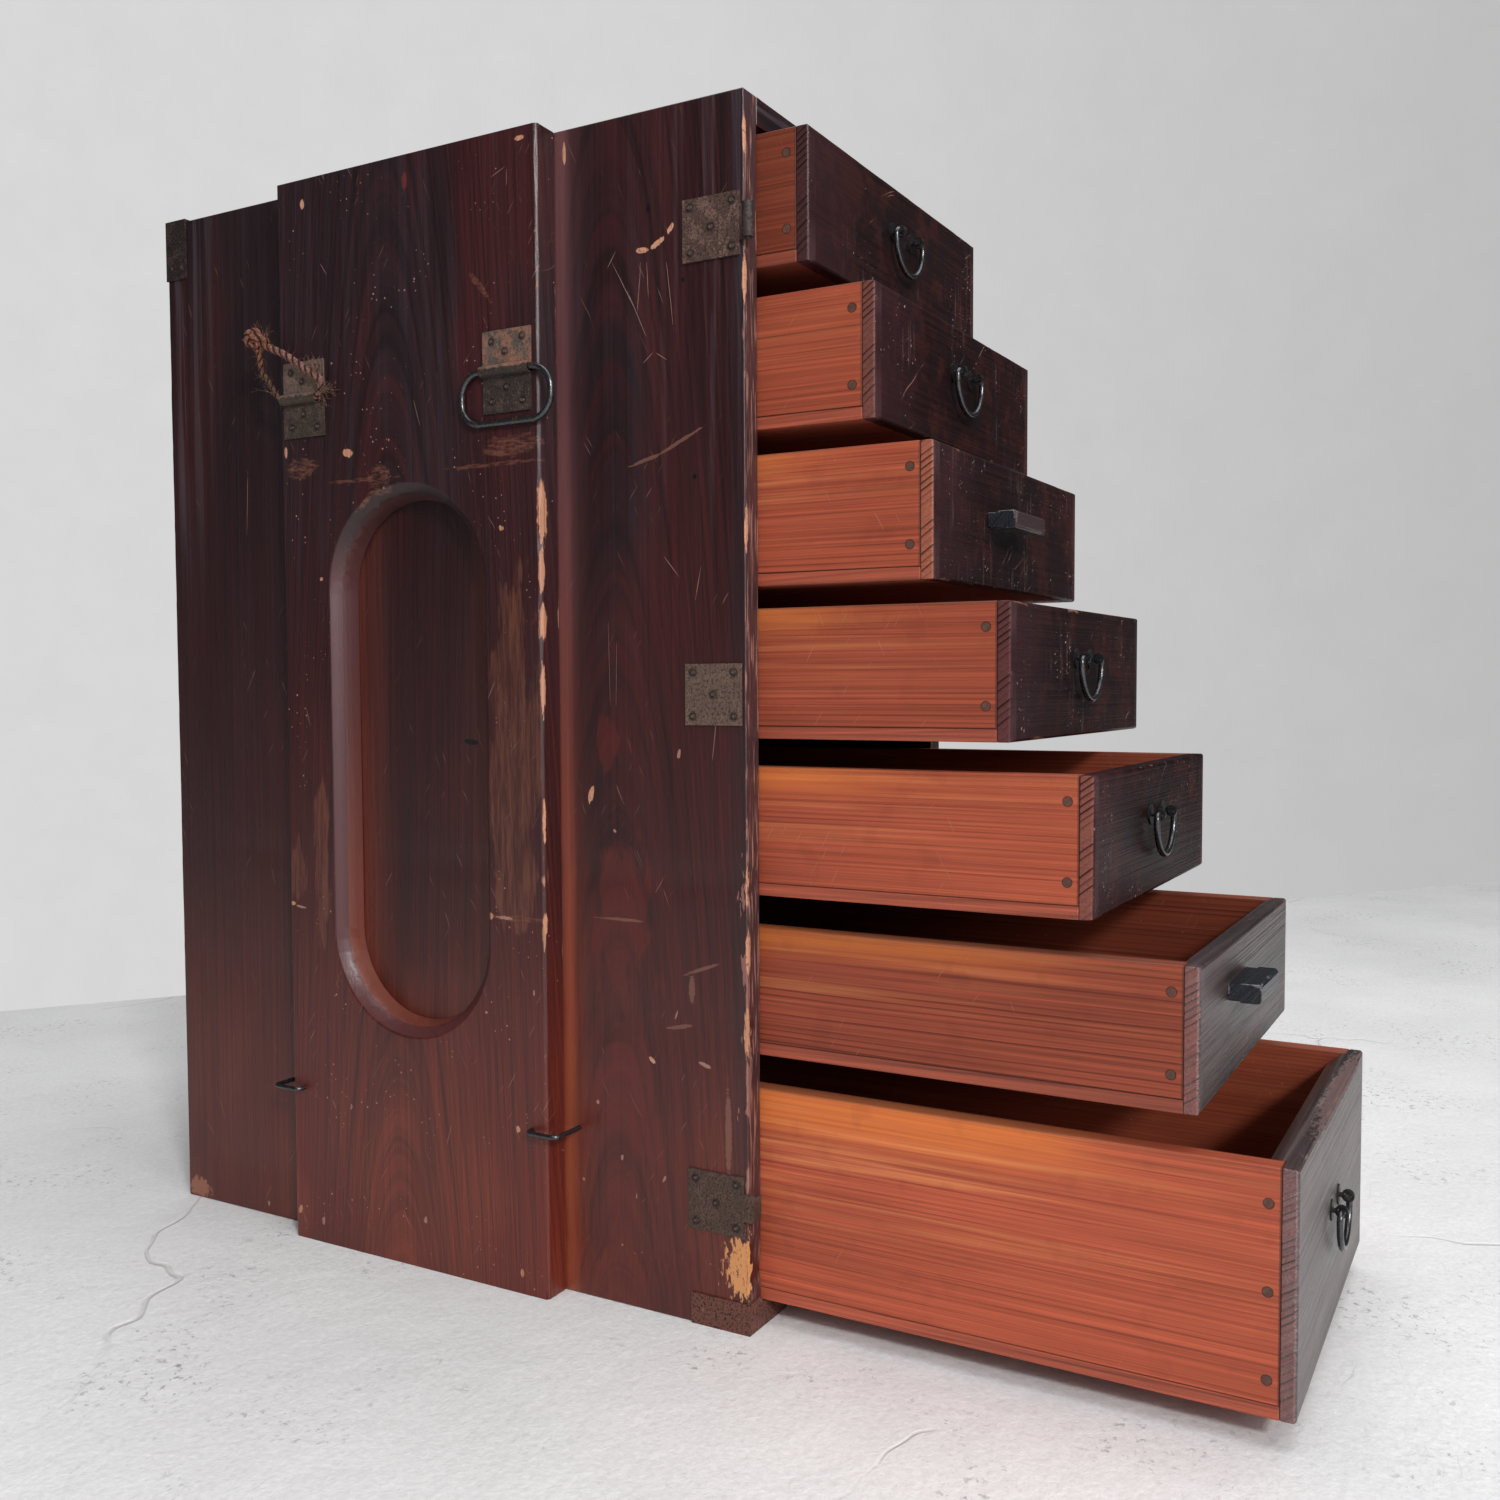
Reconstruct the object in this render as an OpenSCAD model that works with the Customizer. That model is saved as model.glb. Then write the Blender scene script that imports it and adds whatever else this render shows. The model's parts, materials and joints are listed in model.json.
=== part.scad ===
// Portable drawer cabinet: a tall narrow case carried on the back, with seven drawers
// that pull out at the front. Millimetres, Z up. The front faces -Y, the side that lies
// against the carrier's back faces -X. The origin is the middle of the case's base.
// The drawers stand open like a staircase, as they are at rest.

/* [Case] */
// Width of the case over its two side boards
case_w = 288; // [250:1:340]
// Depth of the case from its open front to its back
case_d = 472; // [440:1:560]
// Height of the case
case_h = 700; // [680:1:780]
// Thickness of the two side boards
side_t = 15; // [12:0.5:20]
// Thickness of the top board
top_t = 16; // [12:0.5:20]
// Thickness of the bottom board
bottom_t = 15; // [15:0.5:20]
// Thickness of the back planks
back_t = 9; // [6:0.5:12]
// Width of the rebate in a side board that the back planks sit in
back_lap = 8; // [5:0.5:10]
// Open joint between the two back planks
plank_gap = 0.5; // [0.25:0.25:3]

/* [Strap pad] */
// Width of the thick board that lies on the carrier's back
pad_w = 214; // [190:1:260]
// Thickness of that board
pad_t = 18; // [14:0.5:24]
// Rounding of its long arrises
pad_round = 2.5; // [1:0.5:5]
// Width of the long round-ended recess, on the face
recess_w = 131; // [100:1:150]
// Height of the recess's upper end above the base
recess_top = 499; // [440:1:520]
// Height of the recess's lower end above the base
recess_bottom = 148; // [130:1:250]
// Bevel round the recess's rim
recess_bevel = 6.5; // [3:0.5:9]
// Inward slope of the recess's wall
recess_draft = 3; // [0:0.5:6]

/* [Drawers] */
// Height of the lowest drawer
low_drawer_h = 124; // [110:1:130]
// Free height above the top drawer
top_gap = 4.5; // [3:0.5:8]
// Free height under each drawer but the lowest, from the top one down
drawer_gaps = [16, 14, 12.5, 16, 18.5, 19.5]; // [12.5:0.5:24]
// How far each drawer's front stands before the case at rest, from the top one down
drawer_out = [32, 72, 106, 149, 193, 246, 293]; // [0:1:330]
// Play between a drawer and the case on each side
drawer_play = 1; // [0.5:0.25:2]
// Gap between a drawer and what it slides on
slide_gap = 0.3; // [0.2:0.1:0.6]
// How far the closed fronts lie behind the case's front
closed_recess = 18; // [15:1:24]
// Gap between a closed drawer and the back planks
stop_gap = 1.5; // [1:0.5:4]
// Thickness of a runner
runner_t = 10; // [6:0.5:10]
// Width of a runner
runner_w = 14; // [10:1:20]

/* [Drawer boards] */
// Thickness of a drawer's front board
front_t = 20; // [16:0.5:24]
// Wood of the front board that covers the ends of the sides and bottom
front_lap = 8; // [6:0.5:10]
// Depth of the bevel on the front board's inner top edge
front_bevel_y = 10; // [4:0.5:11]
// Height of that bevel
front_bevel_z = 9; // [4:0.5:12]
// Small bevel on the outer arrises of the front board
front_arris = 1.2; // [0.5:0.1:2]
// Thickness of a drawer's side boards
dside_t = 12.5; // [10:0.5:14]
// Thickness of a drawer's back board
dback_t = 10; // [8:0.5:12]
// How much lower than the sides the back board ends
dback_drop = 6; // [2:0.5:10]
// Thickness of a drawer's bottom board
dbottom_t = 7; // [5:0.5:9]

/* [Pegs] */
// Diameter of the wooden pegs
peg_d = 4.7; // [3:0.1:6]
// Length of a peg
peg_l = 28; // [22:0.5:36]
// Clearance of a peg in its bore, on the radius
peg_fit = 0.05; // [0.02:0.01:0.1]
// Height of the lowest peg above the drawer's underside
peg_low = 19; // [15:0.5:24]
// Distance of the highest peg below the top of the drawer
peg_top = 13.5; // [12:0.5:18]
// The same on the lowest drawer
low_peg_top = 18; // [12:0.5:24]

/* [Iron pulls] */
// Diameter of the bail's rod
bail_d = 3.6; // [2.5:0.1:4.5]
// Straight rod between an eye and the bail's shoulder
bail_past = 2; // [1:0.5:6]
// Rod that shows past the inner side of each eye
bail_end = 1.2; // [0.5:0.1:3]
// Bend at each shoulder of the bail
bail_shoulder = 3.5; // [2.5:0.5:5]
// Distance between the two eyes that hold the bail
eye_spacing = 27.5; // [22:0.5:30]
// Width of an eye
eye_w = 2.6; // [2:0.1:3.2]
// Thickness of the strip that an eye is bent from
eye_strip = 1.3; // [1:0.1:2]
// Clearance of the bail in its eyes, on the radius
eye_clear = 0.3; // [0.2:0.05:0.5]
// Distance of the bail's axis before the drawer's front
pull_proud = 5.5; // [5:0.1:8]
// Depth of the bail's axis below the top of a small drawer
pull_down = 28.5; // [24:0.5:40]
// The same on the lowest drawer
low_pull_down = 56; // [40:0.5:75]
// Width of the almond-shaped plate behind each eye
rosette_w = 10; // [8:0.5:12]
// Height of that plate
rosette_h = 12; // [10:0.5:16]
// Thickness of that plate
rosette_t = 0.9; // [0.5:0.1:1.4]
// Diameter of an eye's shank through the drawer's front
shank_d = 2.8; // [2:0.1:3.4]
// Clearance of the shank in its bore, on the radius
shank_fit = 0.05; // [0.02:0.01:0.1]
// Length of each shank end bent over inside the drawer
clinch_l = 4; // [3:0.5:8]

/* [Block handles] */
// Length of a wooden block handle
block_l = 52; // [40:1:70]
// How far the block stands before the drawer's front
block_proud = 17.5; // [10:0.5:17.5]
// Height of the block's head
block_h = 10.4; // [8:0.2:14]
// Depth of the slimmer neck behind the head
block_neck = 6; // [3:0.5:8]
// How much the neck is cut in above and below
block_cut = 0.8; // [0.4:0.2:2]
// Place of each block beside the middle of its drawer, on drawers 3 and 6
block_side = [-20, -35]; // [-60:1:60]
// Height of each block's middle above its drawer's underside
block_up = [39, 49]; // [20:1:55]

/* [Strap irons] */
// Distance of each strap plate from the pad's edge
strap_in = 5; // [0:0.5:8]
// Depth of the strap plates' folds below the case's top
strap_down = 140.5; // [110:0.5:145]
// Width of a strap plate
strap_w = 36; // [28:1:40]
// Length of the leaf above the fold
strap_upper = 24; // [18:1:30]
// Length of the leaf below the fold
strap_lower = 25; // [18:1:30]
// Length that has rusted away from the near end of the rear plate's fold
fold_loss = 6; // [0:0.5:10]
// Thickness of the sheet iron
sheet_t = 1.2; // [0.8:0.1:1.6]
// Diameter of the strap ring's rod
ring_d = 4; // [3:0.1:5]
// Straight rod past each end of the fold
ring_past = 1.5; // [1:0.5:4]
// Height of the strap ring, on the rod's centre line
ring_h = 31; // [31:1:40]
// Radius of the ring's corners
ring_corner = 14; // [8:0.5:15]
// Clearance of the ring in its fold, on the radius
ring_clear = 0.3; // [0.2:0.05:0.5]
// Height of the lower staples above the base
staple_up = 103; // [60:1:130]
// Diameter of a staple's rod
staple_d = 3; // [2:0.1:4]
// How far a staple reaches to each side of the pad's edge
staple_reach = 11; // [9:0.5:14]
// How far a staple's rod stands over the pad, on its centre line
staple_proud = 6; // [5:0.5:8]
// Bend of a staple's corners
staple_bend = 4; // [3:0.5:5]
// Depth of a staple's legs in the wood
staple_deep = 10; // [6:0.5:11]
// Clearance of a staple's leg in its bore, on the radius
staple_fit = 0.05; // [0.02:0.01:0.1]

/* [Case irons] */
// Width of a hinge leaf
leaf_w = 37; // [30:1:45]
// Height of a hinge leaf
leaf_h = 35; // [28:1:42]
// Distance of a leaf behind the case's front
leaf_back = 2.5; // [1:0.5:5]
// Depth of the top leaf's middle below the case's top
leaf_down = 73; // [60:0.5:120]
// Height of the middle and the lowest leaf's middle above the base
leaf_up = [366.5, 74]; // [45:0.5:500]
// Diameter of the hinge knuckle left on the top leaf
knuckle_d = 6.4; // [5:0.2:8]
// Length of that knuckle
knuckle_l = 19; // [14:1:24]
// Gap between the knuckle and the case's front
knuckle_gap = 0.3; // [0.2:0.1:1]
// Diameter of the hinge pin in the knuckle
hinge_pin_d = 3; // [2:0.1:4]
// Length of the corner strap on the side and on the front
corner_l = 38; // [30:1:60]
// Height of the corner strap on the side
corner_h = 18; // [16:1:30]
// Width of the strap on the upper rear corner
rear_strap_w = 20; // [14:1:30]
// Length of that strap down the side
rear_strap_l = 40; // [25:1:60]
// Diameter of a nail's head
nail_d = 3.4; // [2.5:0.1:4.5]
// Height of a nail's head over the iron
nail_h = 0.8; // [0.4:0.1:1.2]

/* [Hidden] */
$fn = 48;
small_count = 6;
low = small_count;
left_x = -case_w / 2;
right_x = case_w / 2;
front_y = -case_d / 2;
back_y = case_d / 2;
inner_l = left_x + side_t;
inner_r = right_x - side_t;
eps = 0.01;

// Wood and iron as seen
case_wood = [0.16, 0.07, 0.06];
pad_wood = [0.20, 0.08, 0.07];
drawer_wood = [0.62, 0.28, 0.17];
front_wood = [0.17, 0.08, 0.08];
plain_wood = [0.45, 0.25, 0.16];
peg_wood = [0.25, 0.13, 0.09];
block_wood = [0.11, 0.11, 0.14];
dark_iron = [0.13, 0.12, 0.11];
rusty_iron = [0.26, 0.20, 0.16];
rope_tan = [0.48, 0.33, 0.24];

// Heights: the small drawers share what the lowest one and the gaps leave
function sum_to(v, n) = n <= 0 ? 0 : v[n - 1] + sum_to(v, n - 1);
low_z = bottom_t + slide_gap;
stack_h = case_h - top_t - top_gap - low_z;
drawer_h = (stack_h - low_drawer_h - sum_to(drawer_gaps, small_count)) / small_count;
function height_of(i) = i == low ? low_drawer_h : drawer_h;
function bottom_of(i) =
    i == low ? low_z
             : case_h - top_t - top_gap - (i + 1) * drawer_h - sum_to(drawer_gaps, i);

// Drawer box
drawer_w = case_w - 2 * side_t - 2 * drawer_play;
drawer_l = case_d - back_t - closed_recess - stop_gap;
tongue_w = drawer_w - 2 * dside_t;
function front_of(i) = front_y - drawer_out[i];

// Pegs of one drawer, from the lowest up
function peg_rows(i) = i == low ? 3 : 2;
function peg_span(i) = height_of(i) - peg_low - (i == low ? low_peg_top : peg_top);
function peg_z(i, k) = peg_low + k * peg_span(i) / (peg_rows(i) - 1);

// Pulls
function has_block(i) = i == 2 || i == 5;
function block_index(i) = i == 2 ? 0 : 1;
function pull_z(i) = height_of(i) - (i == low ? low_pull_down : pull_down);
bail_pin_in = eye_spacing / 2 - eye_w / 2 - bail_end;
bail_bow = eye_spacing / 2 + eye_w / 2 + bail_past + bail_shoulder;
eye_bore_r = bail_d / 2 + eye_clear;

// Strap pad and its irons
pad_face = left_x - pad_t;
recess_r = recess_w / 2;
tunnel_r = ring_d / 2 + ring_clear;
ring_x = pad_face - tunnel_r;
ring_half = strap_w / 2 + ring_past + ring_corner;
strap_side = pad_w / 2 - strap_in - strap_w / 2;
strap_up = case_h - strap_down;

// Route of the rope remnant: from the knot, down through the rear strap plate's fold
// and back up to the knot. Each point is [x from the pad's face, y, z] by hand, with y
// and z measured from the middle of the fold.
rope_d = 4.2;
knot_d = 15;
rope_points = [
    [-9.5, 33, 39.4],
    [-9, 26.6, 36],
    [-8.5, 19, 32.5],
    [-8, 9.8, 28.4],
    [-7.2, 0.5, 22.7],
    [-6.4, -9, 16.9],
    [-5.8, -16.4, 12.1],
    [-5.3, -18.6, 9.9],
    [-4.8, -19.5, 6.6],
    [-4.1, -18.6, 3.3],
    [-3.2, -16.2, 0.9],
    [-2.4, -12.6, 0],
    [-2.3, -8, 0],
    [-2.3, 0, 0],
    [-2.3, 12, 0],
    [-2.3, 17.2, 0.1],
    [-2.6, 20.6, 1.8],
    [-3.6, 22.8, 5],
    [-5.2, 27, 12.6],
    [-6.8, 31.6, 20],
    [-8.2, 31.6, 27],
    [-9.3, 32, 33.5]
];
rope_steps = 2;
rope_sides = 8;

// Box from its low corner to its high corner
module block(a, b) {
    translate(a) cube(b - a);
}

// Straight rod between two points of the XY plane
module bar(p, q, d) {
    v = q - p;
    translate([p[0], p[1], 0])
        rotate([0, 0, atan2(v[1], v[0])])
            rotate([0, 90, 0])
                cylinder(h = norm(v), d = d);
}

// Bent rod in the XY plane, from angle a0 to a1 round the point c
module bend(c, r, a0, a1, d) {
    translate([c[0], c[1], 0])
        rotate([0, 0, a0])
            rotate_extrude(angle = a1 - a0)
                translate([r, 0])
                    circle(d = d);
}

// Lays the XY plane on the XZ plane, with Y turned up
module stand_front() {
    rotate([90, 0, 0]) children();
}

// Lays the XY plane on the YZ plane, with X along Y and Y turned up
module stand_side() {
    rotate([90, 0, 90]) children();
}

// Nail head on a face that looks to -X
module nail_head_side(y, z, x) {
    translate([x, y, z])
        rotate([0, -90, 0])
            cylinder(h = nail_h, d1 = nail_d, d2 = nail_d * 0.6);
}

// Side board: full height and depth, rebated at the rear for the back planks
module side_board(outer, inner) {
    away = sign(inner - outer);
    lap_x = inner - away * back_lap;
    difference() {
        block([min(outer, inner), front_y, 0], [max(outer, inner), back_y, case_h]);
        block([min(lap_x, inner + away * eps), back_y - back_t, -1],
              [max(lap_x, inner + away * eps), back_y + 1, case_h + 1]);
    }
}

// Bores for the legs of the lower staples, from x0 inwards
module staple_bores(x0, side) {
    for (s = [-1, 1])
        translate([x0 - 1, s * (pad_w / 2 + side * staple_reach), staple_up])
            rotate([0, 90, 0])
                cylinder(h = staple_deep + 1, d = staple_d + 2 * staple_fit);
}

module strap_side_board() {
    color(case_wood)
        difference() {
            side_board(left_x, inner_l);
            staple_bores(left_x, 1);
        }
}

module far_side_board() {
    color(case_wood) side_board(right_x, inner_r);
}

module top_board() {
    color(case_wood)
        block([inner_l, front_y, case_h - top_t], [inner_r, back_y - back_t, case_h]);
}

module bottom_board() {
    color(case_wood)
        block([inner_l, front_y, 0], [inner_r, back_y - back_t, bottom_t]);
}

// Two upright planks in the rebates of the side boards
module back_planks() {
    color(case_wood)
        for (s = [-1, 1])
            block([s < 0 ? inner_l - back_lap : plank_gap / 2, back_y - back_t, 0],
                  [s < 0 ? -plank_gap / 2 : inner_r + back_lap, back_y, case_h]);
}

// One stage of the recess's cutter, between two depths
module recess_stage(x0, r0, x1, r1) {
    zc0 = recess_bottom + recess_r;
    zc1 = recess_top - recess_r;
    for (z = [zc0, zc1])
        translate([x0, 0, z])
            rotate([0, 90, 0])
                cylinder(h = x1 - x0, r1 = r0, r2 = r1);
    translate([0, 0, zc0])
        linear_extrude(zc1 - zc0)
            polygon([[x0, -r0], [x1, -r1], [x1, r1], [x0, r0]]);
}

// Thick board against the carrier's back, with the long recess cut through to the case
module strap_pad() {
    mid_x = pad_face + recess_bevel;
    mid_r = recess_r - recess_bevel;
    r = pad_round;
    color(pad_wood)
        difference() {
            linear_extrude(case_h)
                union() {
                    translate([pad_face + r, -pad_w / 2]) square([pad_t - r, pad_w]);
                    translate([pad_face, -pad_w / 2 + r]) square([pad_t, pad_w - 2 * r]);
                    for (s = [-1, 1])
                        translate([pad_face + r, s * (pad_w / 2 - r)]) circle(r);
                }
            recess_stage(pad_face - 1, recess_r + 1, mid_x, mid_r);
            recess_stage(mid_x - eps, mid_r, left_x + 1, mid_r - recess_draft);
            staple_bores(pad_face, -1);
        }
}

// Runners nailed to the inside of the side boards, one pair under each small drawer
module drawer_runners() {
    color(plain_wood)
        for (i = [0 : small_count - 1])
            for (s = [-1, 1])
                block([s < 0 ? inner_l : inner_r - runner_w,
                       front_y + closed_recess,
                       bottom_of(i) - slide_gap - runner_t],
                      [s < 0 ? inner_l + runner_w : inner_r,
                       back_y - back_t,
                       bottom_of(i) - slide_gap]);
}

// Hinge leaf on the strap side, with its five nails
module hinge_leaf(z) {
    y0 = front_y + leaf_back;
    inset = 5;
    block([left_x - sheet_t, y0, z - leaf_h / 2], [left_x, y0 + leaf_w, z + leaf_h / 2]);
    for (dy = [-1, 1])
        for (dz = [-1, 1])
            nail_head_side(y0 + leaf_w / 2 + dy * (leaf_w / 2 - inset),
                           z + dz * (leaf_h / 2 - inset), left_x - sheet_t);
    nail_head_side(y0 + leaf_w / 2, z, left_x - sheet_t);
}

// Knuckle and pin that the top hinge still has
module knuckle(z) {
    y = front_y - knuckle_d / 2 - knuckle_gap;
    block([left_x - sheet_t, y, z - knuckle_l / 2],
          [left_x, front_y + leaf_back + 1, z + knuckle_l / 2]);
    translate([left_x - knuckle_d / 2 + sheet_t, y, z - knuckle_l / 2])
        cylinder(h = knuckle_l, d = knuckle_d);
    translate([left_x - knuckle_d / 2 + sheet_t, y, z - knuckle_l / 2 - 1])
        cylinder(h = knuckle_l + 2, d = hinge_pin_d);
}

// Torn tongue of the bottom hinge, bent round before the case's edge
module torn_tongue(z) {
    reach = 4;
    tongue_h = 16;
    block([left_x - sheet_t, front_y - reach, z - tongue_h / 2],
          [left_x, front_y + leaf_back + 1, z + tongue_h / 2]);
    block([left_x - sheet_t, front_y - reach, z - tongue_h / 2 + 1],
          [left_x + 8, front_y - reach + sheet_t, z + tongue_h / 2 - 2]);
}

// Corner strap at the foot of the front corner
module foot_strap() {
    lip = bottom_t - 0.7;
    block([left_x - sheet_t, front_y - sheet_t, 0],
          [left_x, front_y + corner_l, corner_h]);
    translate([0, front_y, 0])
        stand_front()
            linear_extrude(sheet_t)
                polygon([
                    [left_x - sheet_t, 0],
                    [left_x + corner_l + 6, 0],
                    [left_x + corner_l + 6, lip - 6],
                    [left_x + corner_l, lip],
                    [inner_l, lip],
                    [inner_l - 2, corner_h],
                    [left_x - sheet_t, corner_h]
                ]);
    for (y = [7, corner_l - 7])
        nail_head_side(front_y + y, corner_h / 2, left_x - sheet_t);
}

// Strap over the upper rear corner
module rear_strap() {
    block([left_x - sheet_t, back_y - rear_strap_w, case_h - rear_strap_l],
          [left_x, back_y, case_h + sheet_t]);
    block([left_x - sheet_t, back_y - rear_strap_w, case_h],
          [left_x + rear_strap_w, back_y, case_h + sheet_t]);
    for (s = [-1, 1])
        nail_head_side(back_y - rear_strap_w / 2 + s * rear_strap_w / 4,
                       case_h - rear_strap_l + 8, left_x - sheet_t);
}

// Three hinge leaves of the lost front door: the top one keeps its knuckle, the lowest
// is torn off behind it
module hinge_leaves() {
    color(rusty_iron) {
        hinge_leaf(case_h - leaf_down);
        for (z = leaf_up)
            hinge_leaf(z);
        knuckle(case_h - leaf_down);
        torn_tongue(leaf_up[1]);
    }
}

// Iron straps that hold two corners of the case
module corner_straps() {
    color(rusty_iron) {
        foot_strap();
        rear_strap();
    }
}

// Section of a strap plate: two flat leaves with a round tunnel between them
module fold_profile(outer_r) {
    difference() {
        union() {
            translate([pad_face - sheet_t, 0]) square([sheet_t, strap_upper]);
            translate([pad_face - sheet_t, -strap_lower]) square([sheet_t, strap_lower]);
            translate([ring_x, 0]) circle(outer_r);
            translate([ring_x, -outer_r]) square([pad_face - ring_x, 2 * outer_r]);
        }
        translate([ring_x, 0]) circle(tunnel_r);
        translate([ring_x, -tunnel_r]) square([pad_face - ring_x + 1, 2 * tunnel_r]);
        translate([pad_face, -outer_r - 1]) square([outer_r, 2 * outer_r + 2]);
    }
}

// Sheet bent over a round tunnel and nailed above and below it
module strap_plate(yc, loss) {
    outer_r = tunnel_r + sheet_t;
    translate([0, yc, strap_up]) {
        difference() {
            translate([0, strap_w / 2, 0])
                rotate([90, 0, 0])
                    linear_extrude(strap_w)
                        fold_profile(outer_r);
            block([ring_x - outer_r - 1, -strap_w / 2 - 1, -outer_r - 0.5],
                  [pad_face + 1, -strap_w / 2 + loss, outer_r + 0.5]);
        }
        nail_head_side(-strap_w / 2 + 6, strap_upper - 5.5, pad_face - sheet_t);
        nail_head_side(strap_w / 2 - 7, strap_upper - 6.5, pad_face - sheet_t);
        nail_head_side(1, strap_upper - 13, pad_face - sheet_t);
        nail_head_side(0, -10, pad_face - sheet_t);
        nail_head_side(-strap_w / 2 + 6, -strap_lower + 6, pad_face - sheet_t);
        nail_head_side(strap_w / 2 - 7, -strap_lower + 7, pad_face - sheet_t);
    }
}

// Staple over the edge of the pad: one leg in the pad, the other in the case's side
module staple() {
    pad_leg = pad_w / 2 - staple_reach;
    case_leg = pad_w / 2 + staple_reach;
    crest = pad_t + staple_proud;
    r = staple_bend;
    translate([left_x, 0, staple_up])
        rotate([0, 0, 90]) {
            bar([pad_leg, pad_t - staple_deep], [pad_leg, crest - r], staple_d);
            bend([pad_leg + r, crest - r], r, 90, 180, staple_d);
            bar([pad_leg + r, crest], [case_leg - r, crest], staple_d);
            bend([case_leg - r, crest - r], r, 0, 90, staple_d);
            bar([case_leg, -staple_deep], [case_leg, crest - r], staple_d);
        }
}

module strap_plates() {
    color(rusty_iron) {
        strap_plate(-strap_side, 0);
        strap_plate(strap_side, fold_loss);
    }
}

module staples() {
    color(dark_iron) {
        staple();
        mirror([0, 1, 0]) staple();
    }
}

// Ring that a shoulder strap was tied to, hanging in the front strap plate's fold
module strap_ring() {
    hw = ring_half;
    r = ring_corner;
    color(dark_iron)
        translate([ring_x, -strap_side, strap_up])
            stand_side() {
                bar([-hw + r, 0], [hw - r, 0], ring_d);
                bar([-hw + r, -ring_h], [hw - r, -ring_h], ring_d);
                for (s = [-1, 1])
                    bar([s * hw, -ring_h + r], [s * hw, -r], ring_d);
                bend([hw - r, -r], r, 0, 90, ring_d);
                bend([-hw + r, -r], r, 90, 180, ring_d);
                bend([-hw + r, -ring_h + r], r, 180, 270, ring_d);
                bend([hw - r, -ring_h + r], r, 270, 360, ring_d);
            }
}

// Smooth curve through the rope's points
function unit(v) = v / norm(v);
function clamp_at(v, i) = v[min(max(i, 0), len(v) - 1)];
function curve_at(v, i, t) =
    let (a = clamp_at(v, i - 1), b = clamp_at(v, i), c = clamp_at(v, i + 1),
         d = clamp_at(v, i + 2))
    0.5 * (2 * b + (c - a) * t + (2 * a - 5 * b + 4 * c - d) * t * t
           + (3 * b - a - 3 * c + d) * t * t * t);
rope_path = [
    for (i = [0 : len(rope_points) - 2])
        for (k = [0 : rope_steps - 1])
            curve_at(rope_points, i, k / rope_steps),
    rope_points[len(rope_points) - 1]
];
rope_n = len(rope_path);
function rope_dir(i) = unit(clamp_at(rope_path, i + 1) - clamp_at(rope_path, i - 1));
function rope_ring(i) =
    let (t = rope_dir(i), u = unit(cross(t, [1, 0, 0])), w = cross(t, u))
    [for (k = [0 : rope_sides - 1])
        rope_path[i] + rope_d / 2 * (cos(k * 360 / rope_sides) * u
                                     + sin(k * 360 / rope_sides) * w)];

// Twisted rope left in the rear strap plate, with both ends in one knot
module rope_remnant() {
    points = [for (i = [0 : rope_n - 1]) each rope_ring(i)];
    first_cap = [[for (k = [0 : rope_sides - 1]) k]];
    last_cap = [[for (k = [rope_sides - 1 : -1 : 0]) (rope_n - 1) * rope_sides + k]];
    sides = [
        for (i = [0 : rope_n - 2])
            for (k = [0 : rope_sides - 1])
                let (a = i * rope_sides + k,
                     b = i * rope_sides + (k + 1) % rope_sides)
                for (f = [[a, a + rope_sides, b], [b, a + rope_sides, b + rope_sides]])
                    f
    ];
    color(rope_tan)
        translate([pad_face, strap_side, strap_up])
            union() {
                polyhedron(points, concat(first_cap, last_cap, sides));
                translate(rope_points[0])
                    sphere(d = knot_d);
            }
}

// Places a piece in the drawer's own frame: X across, Y back from the front face,
// Z up from the underside
module at_drawer(i) {
    translate([0, front_of(i), bottom_of(i)]) children();
}

// Bores or pegs through both sides of a drawer, near its front and near its back
module peg_set(i, d, l, over) {
    for (s = [-1, 1])
        for (k = [0 : peg_rows(i) - 1])
            for (y = [(front_lap + front_t) / 2, drawer_l - dback_t / 2])
                translate([s * (drawer_w / 2 + over), y, peg_z(i, k)])
                    rotate([0, -s * 90, 0])
                        cylinder(h = l + over, d = d);
}

module peg_bores(i) {
    peg_set(i, peg_d + 2 * peg_fit, peg_l, 1);
}

// Front board: rebated at both ends and below, bevelled inside along its top
module drawer_front(i) {
    h = height_of(i);
    hw = drawer_w / 2;
    a = front_arris;
    color(front_wood)
        at_drawer(i)
            difference() {
                intersection() {
                    translate([-hw, 0, 0])
                        rotate([90, 0, 90])
                            linear_extrude(drawer_w)
                                polygon([
                                    [0, a], [a, 0], [front_t, 0],
                                    [front_t, h - front_bevel_z],
                                    [front_t - front_bevel_y, h],
                                    [a, h], [0, h - a]
                                ]);
                    linear_extrude(h)
                        polygon([
                            [-hw + a, 0], [hw - a, 0], [hw, a], [hw, front_t],
                            [-hw, front_t], [-hw, a]
                        ]);
                }
                for (s = [-1, 1])
                    block([s < 0 ? -hw - 1 : tongue_w / 2, front_lap, -1],
                          [s < 0 ? -tongue_w / 2 : hw + 1, front_t + 1, h + 1]);
                block([-hw - 1, front_lap, -1], [hw + 1, front_t + 1, dbottom_t]);
                peg_bores(i);
                if (!has_block(i))
                    for (s = [-1, 1])
                        translate([s * eye_spacing / 2, -1, pull_z(i)])
                            rotate([-90, 0, 0])
                                cylinder(h = front_t + 2, d = shank_d + 2 * shank_fit);
            }
}

module drawer_sides(i) {
    color(drawer_wood)
        at_drawer(i)
            difference() {
                for (s = [-1, 1])
                    block([s < 0 ? -drawer_w / 2 : tongue_w / 2, front_lap, dbottom_t],
                          [s < 0 ? -tongue_w / 2 : drawer_w / 2, drawer_l, height_of(i)]);
                peg_bores(i);
            }
}

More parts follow.
